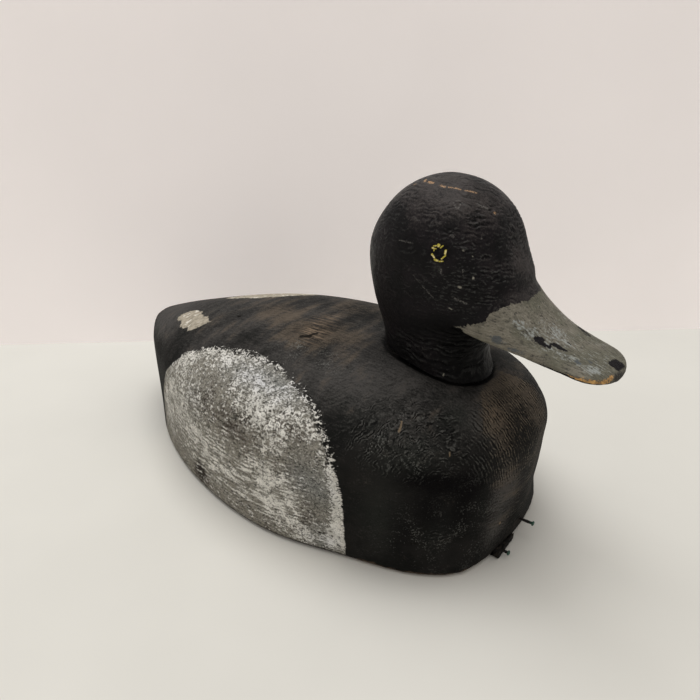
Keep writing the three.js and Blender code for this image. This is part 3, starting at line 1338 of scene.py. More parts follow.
@dataclass(frozen=True)
class BodyPaint(Finish):
    """The body's finish: worn black, a dry-brushed pale flank, bare wood."""

    name: str = "body_paint"
    black: Point = (0.0082, 0.0082, 0.0076)
    warm_black: Point = (0.0145, 0.0136, 0.0126)
    # Darkest black, laid as painted shade.
    darkest_black_and_shade: Point = (0.0016, 0.0013, 0.0016)
    brown: Point = (0.115, 0.092, 0.07)
    worn_and_sheen_grey: Point = (0.07, 0.065, 0.061)
    slate: Point = (0.024, 0.0258, 0.0225)
    # Worn crests with a painted highlight.
    worn_crest_highlight: Point = (0.085, 0.086, 0.078)
    worn_crest_highlight_tan: Point = (0.17, 0.14, 0.1)
    speck: Point = (0.2, 0.19, 0.17)
    fleck: Point = (0.17, 0.17, 0.155)
    white: Point = (0.8, 0.775, 0.715)
    cold_white: Point = (0.7, 0.7, 0.71)
    dull_white: Point = (0.44, 0.425, 0.38)
    ground: Point = (0.3, 0.28, 0.235)
    cold_ground: Point = (0.265, 0.275, 0.268)
    ground_brown: Point = (0.13, 0.11, 0.09)
    pit: Point = (0.04, 0.033, 0.028)
    wood_light: Point = (0.26, 0.19, 0.13)
    wood_dark: Point = (0.06, 0.04, 0.03)
    # Dirt and painted contact shade along the flank's bottom edge.
    grime_and_shade: Point = (0.024, 0.02, 0.016)
    tan: Point = (0.24, 0.175, 0.12)
    primer: Point = (0.42, 0.37, 0.295)
    primer_dark: Point = (0.28, 0.25, 0.195)
    primer_pale: Point = (0.66, 0.62, 0.545)
    crack: Point = (0.006, 0.005, 0.004)
    scratch: Point = (0.26, 0.19, 0.12)
    grain_slant: float = -84.0
    cracks: tuple[Mark, ...] = marks(
        (3, -29.8, 95, 6.9, -28, 95, 2.5, 0.35), (6.6, -27, 95, 8.9, -24.2, 95, 2, 0.3),
        (-54.9, -22.9, 88.6, -53.4, -23.1, 88.6, 1.9, 0.35),
    )
    slots: tuple[Mark, ...] = marks(
        (97.8, -57.3, 20.4, 101.2, -55.2, 20.6, 0.7, 0.3),
        (-3.2, -76.9, 63.2, -2, -76.9, 62.4, 1.9, 0.6),
    )
    scratches: tuple[Mark, ...] = marks(
        (84.8, -51, 82.2, 85.6, -52.6, 80.6, 0.8, 0.4),
        (85.6, -53, 80.2, 85.9, -54.2, 78.8, 1, 0.4),
        (108.4, -45.2, 72.4, 109, -46.1, 70.8, 0.55, 0.3),
        (124.2, -15.6, 20.4, 124.4, -15.6, 20, 1.3, 0.4),
    )

    def coat(self, graph: Graph, place: Socket) -> dict[str, Socket]:
        """Paint the body.

        Args:
            graph: The material's graph.
            place: The place in millimetres.

        Returns:
            What the shader's inputs are fed, and the Height of its bump.
        """
        rasp = rasped(graph, place)
        paint = self.black_paint(graph, place, rasp["Crest"], rasp["Amount"])
        flank, flank_mask, thick = self.flank(graph, place, rasp["Crest"])
        colour = self.bare_places(graph, place, graph.lay(paint, flank, flank_mask))
        grit = graph.noise(place, 0.6, 3.0, 0.6)
        dents = graph.times(graph.noise(place, 3.4), 0.3)
        relief = graph.plus(graph.times(grit, 0.16), dents, rasp["Height"])
        return {
            "Base Color": colour,
            "Roughness": graph.span(grit, 0.3, 0.7, 0.55, 0.8),
            "Height": graph.fused(thick, 0.3, relief),
        }

    def black_paint(self, graph: Graph, place: Socket, crest: Socket, amount: Socket) -> Socket:
        """Paint the black, with its rubs and painted sheen, streaks and flecks, painted highlights
        on the rasp crests and painted shade in the hollows and grooves.

        Args:
            graph: The material's graph.
            place: The place in millimetres.
            crest: The rasp strokes' crests.
            amount: How strongly the strokes show.

        Returns:
            The colour.
        """
        fine = graph.noise(place, 0.8, 3.0, 0.65)
        band = streaks(graph, graph.turned(place, self.grain_slant), 0.3, 8.0)
        brown = graph.mask("brown")
        wide = graph.step(graph.noise(place, 22.0, 3.0, 0.6), 0.4, 0.62)
        colour = graph.blend(wide, self.black, self.warm_black)
        dusty = graph.span(fine, 0.3, 0.7, 0.3, 1.0)
        colour = graph.lay(colour, self.slate, graph.mask("slate"), dusty)
        grain = streaks(graph, place, 0.2, 1.1, 0.9)
        texture = graph.plus(
            graph.centred(grain, 4.0), graph.centred(fine, 4.5), graph.centred(band, 4.0)
        )
        # Rubbed places and crests lighter: worn paint, with painted sheen on upward-facing
        # surfaces and painted highlights on the crests.
        ridged = graph.times(graph.centred(crest, 2.6), amount)
        rub = graph.plus(graph.times(graph.mask("rub"), 3.2), ridged)
        share = graph.step(graph.fused(texture, 0.8, rub), 0.2, 3.9)
        warm = graph.step(graph.plus(brown, graph.centred(band, 2.4)), 0.1, 0.9)
        colour = graph.lay(colour, graph.blend(warm, self.worn_and_sheen_grey, self.brown), share, 0.95)
        # Painted shade: the darkest black where the painted shade mask lies, varied a little by
        # the texture.
        painted_shade = graph.span(texture, -2.0, 2.0, 1.0, 0.7)
        colour = graph.lay(colour, self.darkest_black_and_shade, graph.mask("painted_shade"), painted_shade)
        # Painted shade in the troughs of the rasp grooves.
        colour = graph.lay(colour, self.darkest_black_and_shade, amount, graph.step(crest, 0.47, 0.16), 0.62)
        # Painted highlight on the rasp crests, partly worn paint.
        worn_crest_highlight_tone = graph.blend(brown, self.worn_crest_highlight, self.worn_crest_highlight_tan)
        dusty = graph.span(fine, 0.38, 0.62, 0.1, 1.0)
        colour = graph.lay(colour, worn_crest_highlight_tone, amount, graph.step(crest, 0.56, 0.86), dusty, 0.78)
        specks = Flecks().place(graph, Place=place, Size=0.75, Share=0.3)["Mask"]
        colour = graph.lay(colour, self.speck, specks, 0.55)
        flecks = Flecks().place(graph, Place=place, Size=0.95, Share=0.6)["Mask"]
        return graph.lay(colour, self.fleck, flecks, graph.mask("flecks"))

    def flank(self, graph: Graph, place: Socket, crest: Socket) -> tuple[Socket, Socket, Socket]:
        """Paint the flank: a grey ground with dry-brushed white over it.

        Args:
            graph: The material's graph.
            place: The place in millimetres.
            crest: The rasp strokes' crests.

        Returns:
            The colour, the flank's mask and the white's mask.
        """
        names = ("flank_inside", "flank_run", "fringe", "clean", "pits")
        inside, run, fringe, clean, pitted = (graph.mask(name) for name in names)
        outer, inner = (
            RaggedEdge().place(
                graph,
                Place=place,
                Inside=graph.fused(fringe, shift, inside),
                Run=run,
                Waver=graph.span(fringe, 0.0, 1.0, 2.0, waver),
                Bristle=graph.span(fringe, 0.0, 1.0, 1.5, bristle),
                Softness=graph.span(fringe, 0.0, 1.0, 0.4, softness),
            )["Mask"]
            for shift, waver, bristle, softness in ((0.8, 8.0, 11.0, 0.4), (-2.6, 9.0, 6.0, 1.4))
        )
        fine = graph.noise(place, 0.7, 3.0, 0.7)
        squeezed = graph.vector("MULTIPLY", place, (0.72, 1.0, 1.0))
        lump = graph.noise(place, 6.0, 3.0, 0.6)
        grit = graph.centred(fine, 2.8)
        texture = graph.plus(graph.centred(graph.noise(squeezed, 1.75, 1.6, 0.5, 1.3), 8.5), grit)
        along = graph.xyz(graph.times(run, 0.16), inside, 0.0)
        lines = {
            "rows": graph.centred(streaks(graph, place, 0.17, 2.0), 9.0),
            "streaks": graph.centred(graph.noise(along, 1.2, 3.0, 0.65), 6.0),
        }
        for name, lined in lines.items():
            texture = graph.mixed(graph.mask(name), texture, graph.plus(lined, grit))
        texture = graph.plus(texture, graph.centred(lump, 3.5), graph.centred(crest, 1.6))
        rimmed = graph.times(fringe, graph.step(inside, 6.5, 0.5))
        cover = graph.fused(rimmed, 0.18, graph.mask("cover"))
        level = graph.plus(graph.centred(cover, 4.6), texture)
        thick = graph.step(level, -0.1, 0.45)
        warm = graph.step(graph.plus(pitted, graph.centred(lump, 2.2)), 0.0, 0.7)
        ground = graph.blend(warm, self.ground, self.ground_brown)
        ground = graph.lay(ground, self.cold_ground, clean, 0.9)
        mottle = graph.step(graph.noise(place, 1.3, 3.0, 0.7, 1.2), 0.4, 0.6)
        ground = graph.blend(mottle, graph.darker(ground, 0.45), ground)
        ground = graph.lay(ground, self.dull_white, graph.step(level, -1.4, 0.0), 0.4)
        pits = graph.fused(pitted, 3.4, graph.times(texture, -1.0))
        ground = graph.lay(ground, self.pit, graph.step(pits, 1.7, 3.4))
        bright = graph.blend(clean, self.white, self.cold_white)
        dull = graph.plus(graph.centred(fine, 4.0), graph.centred(lump, 4.0))
        bright = graph.lay(bright, self.dull_white, graph.step(dull, 0.9, -0.7), 0.75)
        colour = graph.blend(thick, ground, bright)
        speck = graph.step(graph.noise(squeezed, 1.05, 2.0, 0.6, 1.0), 0.45, 0.38)
        colour = graph.lay(colour, graph.darker(colour, 0.14), speck, 0.85)
        white = graph.times(outer, thick)
        return colour, graph.math("MAXIMUM", inner, white), white

    def bare_places(self, graph: Graph, place: Socket, colour: Socket) -> Socket:
        """Lay bare wood, a dark line of dirt and painted shade along the bottom edge, primer,
        cracks and scratches over the paint.

        Args:
            graph: The material's graph.
            place: The place in millimetres.
            colour: The paint's colour.

        Returns:
            The colour.
        """
        wood = BareWood().place(graph, Place=place, Light=self.wood_light, Dark=self.wood_dark)
        height = graph.parts(place)["Z"]
        uneven = graph.centred(graph.noise(place, 7.0, 3.0, 0.6), 1.0)
        rim = graph.step(graph.fused(uneven, 7.0, height), 2.6, 1.2)
        colour = graph.lay(colour, wood["Colour"], rim, 0.6)
        # Dark line along the flank's bottom edge: dirt and painted contact shade.
        grime_and_shade = graph.step(graph.fused(uneven, 2.5, height), 3.2, 2.0)
        painted = graph.step(graph.mask("flank_inside"), 0.0, 1.0)
        colour = graph.lay(colour, self.grime_and_shade, grime_and_shade, painted, 0.92)
        grain = graph.step(wood["Grain"], 0.6, 0.95)
        colour = graph.lay(colour, self.tan, graph.mask("tan"), grain)
        inside = graph.plus(graph.mask("bare_inside"), 0.6)
        edge = RaggedEdge().place(
            graph, Place=place, Inside=inside, Waver=9.0, Bristle=0.0, Softness=0.4
        )
        patch = graph.step(graph.noise(place, 2.6, 3.0, 0.6), 0.38, 0.6)
        primer = graph.blend(patch, self.primer_dark, self.primer)
        bright = graph.step(graph.noise(place, 4.0, 2.0, 0.6), 0.58, 0.66)
        colour = graph.lay(colour, graph.lay(primer, self.primer_pale, bright), edge["Mask"])
        shaken = graph.shaken(place, 0.9, 1.1)
        dark = marks_mask(graph, shaken, self.cracks, Flat.TOP)
        dark = graph.times(dark, graph.step(height, 70.0, 80.0))
        dark = graph.math("MAXIMUM", dark, marks_mask(graph, shaken, self.slots, Flat.FULL))
        colour = graph.lay(colour, self.crack, dark, 0.92)
        pale = marks_mask(graph, shaken, self.scratches, Flat.FULL)
        return graph.lay(colour, self.scratch, pale, 0.7)


@dataclass(frozen=True)
class HeadPaint(Finish):
    """The head's finish: satin black, with a grey-green bill and an eye ring."""

    name: str = "head_paint"
    gloss: float = 0.06
    black: Point = (0.0084, 0.0078, 0.0082)
    violet_black: Point = (0.012, 0.0102, 0.0114)
    # Darkest black: painted shade, and the dark ground of the eye.
    darkest_black_and_shade: Point = (0.0014, 0.0013, 0.0014)
    worn_and_sheen_grey: Point = (0.058, 0.05, 0.047)
    # Worn crests with a painted highlight.
    worn_crest_highlight: Point = (0.062, 0.063, 0.06)
    # Short painted glints.
    glint_dash: Point = (0.085, 0.086, 0.082)
    speck: Point = (0.2, 0.2, 0.185)
    scratch: Point = (0.2, 0.19, 0.175)
    chip: Point = (0.36, 0.34, 0.28)
    tan: Point = (0.5, 0.31, 0.17)
    eye: Point = (0.66, 0.56, 0.08)
    eye_dark: Point = (0.3, 0.24, 0.045)
    eye_pale: Point = (0.82, 0.7, 0.36)
    eye_run: Point = (0.05, 0.056, 0.045)
    bill: Point = (0.24, 0.219, 0.175)
    bill_green: Point = (0.172, 0.163, 0.124)
    # Darker bill tones, and painted shade at the tip and underneath.
    bill_dark_and_shade: Point = (0.055, 0.052, 0.046)
    bill_black_and_shade: Point = (0.03, 0.029, 0.027)
    # Pale strokes with a painted highlight along the bill's top.
    bill_pale_and_highlight: Point = (0.31, 0.325, 0.31)
    wood_light: Point = (0.62, 0.36, 0.13)
    wood_dark: Point = (0.26, 0.15, 0.07)
    blot: Point = (0.0105, 0.0095, 0.0105)
    slate: Point = (0.07, 0.08, 0.09)
    turn: float = 2.6
    pivot: Point = (68.0, 0.0, 0.0)
    far_nostril: float = 3.6
    eye_ground: tuple[Mark, ...] = side_marks(1.6, (88.4, 160.3, 88.5, 160.3, 9.0))
    eye_runs: tuple[Mark, ...] = marks(
        (87, 0, 155.2, 87.4, 0, 150.2, 1, 0.8), (89, 0, 155, 89.4, 0, 150, 0.8, 0.7)
    )
    eye_dabs: tuple[Mark, ...] = side_marks(
        0.16,
        (87.35, 163.15, 87.5, 163, 1.3), (88.5, 162.3, 89.3, 163.2, 0.55),
        (90.95, 161.4, 91, 160.1, 0.9), (91.3, 159.3, 89.95, 157.75, 0.6),
        (90.6, 156.75, 89.1, 156.45, 0.55), (88.2, 156.7, 87, 156.9, 0.95),
        (86.6, 157.8, 85.6, 158.8, 0.7), (85.6, 158.8, 85.4, 159, 0.95),
        (85, 161.7, 85.2, 161.7, 0.8), (85.2, 161.7, 86.6, 161.55, 0.42),
        (85.8, 161.2, 85.85, 160.6, 0.5), (85.3, 162.6, 86.5, 162.9, 0.5),
    )
    nostrils: tuple[Mark, ...] = marks(
        (132.2, -15.4, 0, 133.9, -13.6, 0, 2.4, 0.25),
        (133.7, -15.2, 0, 135.9, -15.1, 0, 2.3, 0.3), (135.9, -14.9, 0, 138, -14.4, 0, 1.4, 0.25),
        (138.1, -14.3, 0, 137.8, -12.4, 0, 1.3, 0.25),
        (137.9, -12.4, 0, 138.9, -11.2, 0, 1.4, 0.25), (139, -11.2, 0, 141.6, -10.6, 0, 2.4, 0.3),
        (141.5, -10.6, 0, 144, -10, 0, 1.4, 0.25),
    )
    tip_blot: tuple[Mark, ...] = marks(
        (160.9, 0.6, 0, 161.2, 5.2, 0, 3.4, 0.3), (163.2, 0.4, 0, 163.3, 5.8, 0, 3, 0.3),
        (141.9, -4.3, 0, 143.2, -4.5, 0, 0.7, 0.35), (142.4, 11.2, 0, 144.8, 12.9, 0, 0.75, 0.3),
        (127, -4.2, 0, 127.9, -3, 0, 0.5, 0.3),
    )
    scratches: tuple[Mark, ...] = marks(
        (67, -31.1, 161.7, 75, -31.4, 161.9, 0.45, 0.3),
        (76.3, -31.6, 147.1, 79.4, -30.9, 144, 0.5, 0.3),
        (80.8, -30.4, 142.9, 85.9, -28.9, 138.2, 0.5, 0.3),
        (90.4, -30.4, 153.2, 90.3, -30.5, 151.2, 0.8, 0.35),
        (99, -26.6, 154.2, 99.4, -26.8, 151.4, 0.4, 0.25),
        (89.6, -16, 180.4, 89.4, -19.5, 177.6, 0.5, 0.3),
        (86.4, -18.3, 179.9, 89.2, -19.6, 177.5, 0.5, 0.3),
        (86.6, -17.4, 180.5, 88.6, -16.4, 180.6, 0.45, 0.3),
        (95, -12, 179.2, 98.2, -9.6, 177.8, 1.1, 0.6),
        (96.5, -26.9, 139.8, 101, -24.8, 138, 0.9, 0.5),
        (91.2, -26.3, 167.8, 92.4, -25.7, 167.2, 0.8, 0.4),
        (101.8, -18, 168.6, 101.9, -17.9, 166.6, 0.55, 0.3),
        (102, -16.6, 172.6, 102, -17, 169.8, 0.5, 0.35),
    )
    chips: tuple[Mark, ...] = marks(
        (88.9, -19.6, 96.4, 88.5, -19.6, 95, 0.7, 0.25),
        (103.3, -24.3, 150.7, 103.3, -24.3, 150.3, 0.75, 0.3),
        (98.1, -27.2, 146, 99, -27, 145.7, 0.95, 0.4),
        (97.4, -25.2, 162, 97.7, -25.2, 162, 0.6, 0.3),
        (101.2, -23, 159.8, 101.4, -23, 159.6, 0.5, 0.25),
        (93, -23.8, 123.8, 99.2, -24.4, 125.7, 0.5, 0.25),
        (93.6, -26.4, 134.2, 94.4, -26.2, 133.8, 0.6, 0.3),
    )
    crown_wear: tuple[Mark, ...] = marks(
        (64.4, -9.6, 185.3, 65.4, -11.2, 185, 1.3, 0.5),
        (68, -11.7, 185.1, 70.6, -12.3, 185.1, 1.4, 0.5),
        (75.2, -13, 184.9, 78, -13.3, 184.5, 0.9, 0.5),
        (79.6, -12.9, 184.6, 85.2, -11.4, 184.3, 0.65, 0.45),
        (87.2, -10.6, 183.9, 91.2, -8.1, 183.2, 0.7, 0.45),
        (60, -11.8, 182.9, 60.8, -11.8, 182.7, 0.9, 0.5),
        (100.6, -7.3, 175.7, 101, -7.1, 175.5, 1, 0.35),
    )

    def coat(self, graph: Graph, place: Socket) -> dict[str, Socket]:
        """Paint the head.

        Args:
            graph: The material's graph.
            place: The place in millimetres.

        Returns:
            What the shader's inputs are fed, and the Height of its bump.
        """
        straight = self.straightened(graph, place)
        sided = self.one_sided(graph, straight)
        rasp = rasped(graph, place)
        black = self.black_paint(graph, place, rasp["Crest"], rasp["Amount"])
        black = self.small_marks(graph, straight, black)
        black = self.eye_ring(graph, sided, black)
        bill, drag = self.bill_paint(graph, place, straight, sided)
        inside, run = (graph.mask(name) for name in ("bill_inside", "bill_run"))
        edge = RaggedEdge().place(
            graph, Place=place, Inside=inside, Run=run, Waver=4.5, Bristle=2.6, Softness=0.16
        )["Mask"]
        grit = graph.noise(place, 0.5, 3.0, 0.6)
        dents = graph.noise(place, 3.2)
        black_rough = graph.span(graph.plus(grit, dents), 0.7, 1.3, 0.34, 0.56)
        bill_rough = graph.span(grit, 0.3, 0.7, 0.45, 0.65)
        relief = graph.plus(
            graph.times(grit, 0.1),
            graph.times(dents, 0.4),
            rasp["Height"],
            graph.times(drag, edge, 0.55),
            graph.times(edge, 0.08),
        )
        return {
            "Base Color": graph.lay(black, bill, edge),
            "Roughness": graph.mixed(edge, black_rough, bill_rough),
            "Height": relief,
        }

    def straightened(self, graph: Graph, place: Socket) -> Socket:
        """Turn places back to a head that looks straight ahead."""
        moved = graph.vector("SUBTRACT", place, self.pivot)
        return graph.vector("ADD", graph.turned(moved, self.turn), self.pivot)

    def one_sided(self, graph: Graph, straight: Socket) -> Socket:
        """Carry places of the left side over to the right side.

        Args:
            graph: The material's graph.
            straight: The place on the straightened head.

        Returns:
            The place, with the left side shifted outwards a little.
        """
        x, y, z = graph.parts(straight)
        mirror = graph.times(graph.math("ABSOLUTE", y), -1.0)
        mirror = graph.fused(graph.math("GREATER_THAN", y, 0.0), self.far_nostril, mirror)
        return graph.xyz(x, mirror, z)

    def black_paint(self, graph: Graph, place: Socket, crest: Socket, amount: Socket) -> Socket:
        """Paint the black, with worn crests carrying painted highlights, short painted glints, and
        painted shade under the jaw and in the grooves.

        Args:
            graph: The material's graph.
            place: The place in millimetres.
            crest: The rasp strokes' crests.
            amount: How strongly the strokes show.

        Returns:
            The colour.
        """
        wide = graph.noise(place, 15.0, 3.0, 0.6)
        fine = graph.noise(place, 0.75, 3.0, 0.65)
        painted_shade = graph.mask("painted_shade")
        colour = graph.blend(graph.step(wide, 0.42, 0.6), self.black, self.violet_black)
        texture = graph.plus(
            graph.centred(fine, 5.0), graph.centred(wide, 4.0), graph.centred(crest, 1.6)
        )
        # Worn paint and painted sheen on upward-facing surfaces, laid in a worn grey.
        rub = graph.step(graph.fused(graph.mask("wear_and_sheen"), 3.4, texture), 0.4, 3.8)
        colour = graph.lay(colour, self.worn_and_sheen_grey, rub)
        # Painted shade under the jaw and the bill and low on the neck, then in the troughs of the
        # rasp grooves.
        colour = graph.lay(colour, self.darkest_black_and_shade, painted_shade)
        colour = graph.lay(colour, self.darkest_black_and_shade, amount, graph.step(crest, 0.45, 0.05), 0.7)
        # Painted highlight on the rasp crests, partly worn paint, weaker in the painted shade.
        high = graph.times(amount, graph.step(crest, 0.55, 0.95))
        dusty = graph.span(fine, 0.35, 0.65, 0.2, 0.75)
        shade = graph.span(painted_shade, 0.0, 1.0, 1.0, 0.3)
        colour = graph.lay(colour, self.worn_crest_highlight, high, dusty, shade)
        # Short pale dashes across the head: painted glints, more of them where the flecks mask is
        # strong.
        stretched = graph.vector("MULTIPLY", place, (0.42, 0.42, 1.0))
        limit = graph.span(graph.mask("flecks"), 0.0, 1.0, 0.74, 0.575)
        glint_dash = graph.noise(stretched, 0.85, 2.0, 0.6, 0.4)
        glint_dash = graph.step(glint_dash, limit, graph.plus(limit, 0.05))
        colour = graph.lay(colour, self.glint_dash, glint_dash, 0.33)
        specks = Flecks().place(graph, Place=place, Size=0.7, Share=0.33)["Mask"]
        return graph.lay(colour, self.speck, specks, 0.5)

    def small_marks(self, graph: Graph, straight: Socket, colour: Socket) -> Socket:
        """Scratch and chip the black paint where the worn places lie.

        Args:
            graph: The material's graph.
            straight: The place on the straightened head.
            colour: The paint's colour.

        Returns:
            The colour.
        """
        shaken = graph.shaken(straight, 1.1, 0.8)
        fine = graph.noise(straight, 0.7)
        pale = marks_mask(graph, shaken, self.scratches, Flat.FULL)
        colour = graph.lay(colour, self.scratch, pale, graph.step(fine, 0.36, 0.56), 0.55)
        chip = marks_mask(graph, shaken, self.chips, Flat.FULL)
        colour = graph.lay(colour, self.chip, chip, 0.75)
        tan = marks_mask(graph, shaken, self.crown_wear, Flat.FULL)
        return graph.lay(colour, self.tan, tan, graph.step(fine, 0.36, 0.54), 0.85)

    def eye_ring(self, graph: Graph, sided: Socket, colour: Socket) -> Socket:
        """Dab the yellow ring of the eye on both sides, with a dull run below.

        Args:
            graph: The material's graph.
            sided: The place, with the left side carried to the right.
            colour: The paint's colour.

        Returns:
            The colour.
        """
        shaken = graph.shaken(sided, 0.3, 0.6)
        outer = graph.step(graph.parts(sided)["Y"], -18.0, -22.0)
        dark = marks_mask(graph, sided, self.eye_ground, Flat.SIDE)
        colour = graph.lay(colour, self.darkest_black_and_shade, dark, outer, 0.6)
        run = graph.times(marks_mask(graph, shaken, self.eye_runs, Flat.SIDE), outer)
        broken = graph.step(graph.noise(sided, 1.2), 0.35, 0.65)
        colour = graph.lay(colour, self.eye_run, run, broken, 0.45)
        ring = graph.times(marks_mask(graph, shaken, self.eye_dabs, Flat.SIDE), outer)
        tone = graph.blend(graph.noise(sided, 0.6), self.eye_dark, self.eye)
        pale = graph.step(graph.noise(sided, 1.1, 1.0), 0.5, 0.62)
        return graph.lay(colour, graph.lay(tone, self.eye_pale, pale, 0.8), ring)

    def bill_paint(
        self, graph: Graph, place: Socket, straight: Socket, sided: Socket
    ) -> tuple[Socket, Socket]:
        """Paint the bill, with its nostril marks, blots and worn rim, pale strokes with a painted
        highlight on top, and painted shade at the tip and underneath.

        Args:
            graph: The material's graph.
            place: The place in millimetres.
            straight: The place on the straightened head.
            sided: The same, with the left side carried to the right.

        Returns:
            The colour and the brush drag.
        """
        drag = streaks(graph, straight, 0.16, 1.1)
        fine = graph.noise(place, 0.75, 3.0, 0.65)
        blotch = graph.noise(place, 5.0, 3.0, 0.6)
        wide = graph.step(graph.noise(place, 14.0), 0.4, 0.6)
        base = graph.blend(wide, self.bill_green, self.bill)
        texture = graph.plus(
            graph.centred(drag, 7.0), graph.centred(fine, 4.0), graph.centred(blotch, 3.0)
        )
        base = graph.blend(graph.step(texture, -0.4, 1.6), graph.darker(base, 0.72), base)
        colour = graph.lay(base, self.bill_dark_and_shade, graph.step(texture, -0.5, -2.0))
        line = graph.step(streaks(graph, straight, 0.07, 0.8), 0.44, 0.36)
        colour = graph.lay(colour, self.bill_dark_and_shade, line, 0.7)
        # Pale brush strokes with a painted highlight along the bill's top.
        lift = graph.step(graph.fused(graph.mask("bill_pale_and_highlight"), 2.4, texture), 1.1, 2.9)
        colour = graph.lay(colour, self.bill_pale_and_highlight, lift, 0.85)
        slate = graph.fused(graph.mask("slate"), 3.0, graph.centred(blotch, 4.0))
        slate = graph.step(graph.plus(slate, graph.centred(fine, 3.0)), 1.3, 2.1)
        colour = graph.lay(colour, self.slate, slate, 0.8)
        # Painted shade on the tip's front and the bill's underside, with dark streaks along the
        # lower edge.
        dark = graph.step(graph.fused(graph.mask("bill_dark_and_shade"), 3.2, texture), 1.5, 3.0)
        colour = graph.lay(colour, self.bill_black_and_shade, dark, 0.9)
        wood = BareWood().place(graph, Place=place, Light=self.wood_light, Dark=self.wood_dark)
        worn = graph.fused(graph.mask("bill_wear"), 3.0, graph.centred(fine, 5.0))
        worn = graph.step(graph.plus(worn, graph.centred(drag, 2.5)), 1.4, 2.1)
        colour = graph.lay(colour, wood["Colour"], worn)
        blots = marks_mask(graph, graph.shaken(sided, 1.3, 1.0), self.nostrils, Flat.TOP)
        tip = marks_mask(graph, graph.shaken(straight, 1.3, 1.2), self.tip_blot, Flat.TOP)
        upper = graph.step(graph.parts(straight)["Z"], 114.6, 115.6)
        blots = graph.times(graph.math("MAXIMUM", blots, tip), upper)
        return graph.lay(colour, self.blot, blots, graph.span(fine, 0.25, 0.4, 0.75, 1.0)), drag


@dataclass(frozen=True)
class StrapLeather(Finish):
    """The strap's finish: dirty black leather with frayed brown edges."""

    name: str = "strap_leather"
    gloss: float = 0.12
    bump: float = 0.7
    bump_depth: float = 0.3
    black: Point = (0.0045, 0.0042, 0.004)
    frayed: Point = (0.03, 0.025, 0.02)

    def coat(self, graph: Graph, place: Socket) -> dict[str, Socket]:
        """Dirty the leather.

        Args:
            graph: The material's graph.
            place: The place in millimetres.

        Returns:
            What the shader's inputs are fed, and the Height of its bump.
        """
        fine = graph.noise(place, 0.4, 3.0, 0.6)
        share = graph.step(graph.plus(fine, graph.noise(place, 2.4)), 0.95, 1.25)
        return {
            "Base Color": graph.blend(share, self.black, self.frayed),
            "Roughness": graph.span(fine, 0.3, 0.7, 0.6, 0.9),
            "Height": fine,
        }


@dataclass(frozen=True)
class TarnishedNail(Finish):
    """The nails' finish: dark shank, and a head green with tarnish."""

    name: str = "tarnished_nail"
    gloss: float = 0.5
    bump: float = 0.6
    bump_depth: float = 0.2
    dark: Point = (0.014, 0.012, 0.01)
    green: Point = (0.012, 0.05, 0.032)
    pale_green: Point = (0.045, 0.12, 0.085)

    def coat(self, graph: Graph, place: Socket) -> dict[str, Socket]:
        """Tarnish the nail towards its head.

        Args:
            graph: The material's graph.
            place: The place in millimetres.

        Returns:
            What the shader's inputs are fed, and the Height of its bump.
        """
        fine = graph.noise(place, 0.5, 3.0, 0.6)
        green = graph.blend(graph.step(fine, 0.4, 0.65), self.green, self.pale_green)
        share = graph.step(graph.fused(fine, 0.3, graph.mask("nail_share")), 0.8, 0.98)
        return {
            "Base Color": graph.blend(share, self.dark, green),
            "Roughness": graph.span(fine, 0.3, 0.7, 0.5, 0.8),
            "Metallic": graph.span(share, 0.0, 1.0, 0.5, 0.1),
            "Height": fine,
        }


# The pieces of this decoy


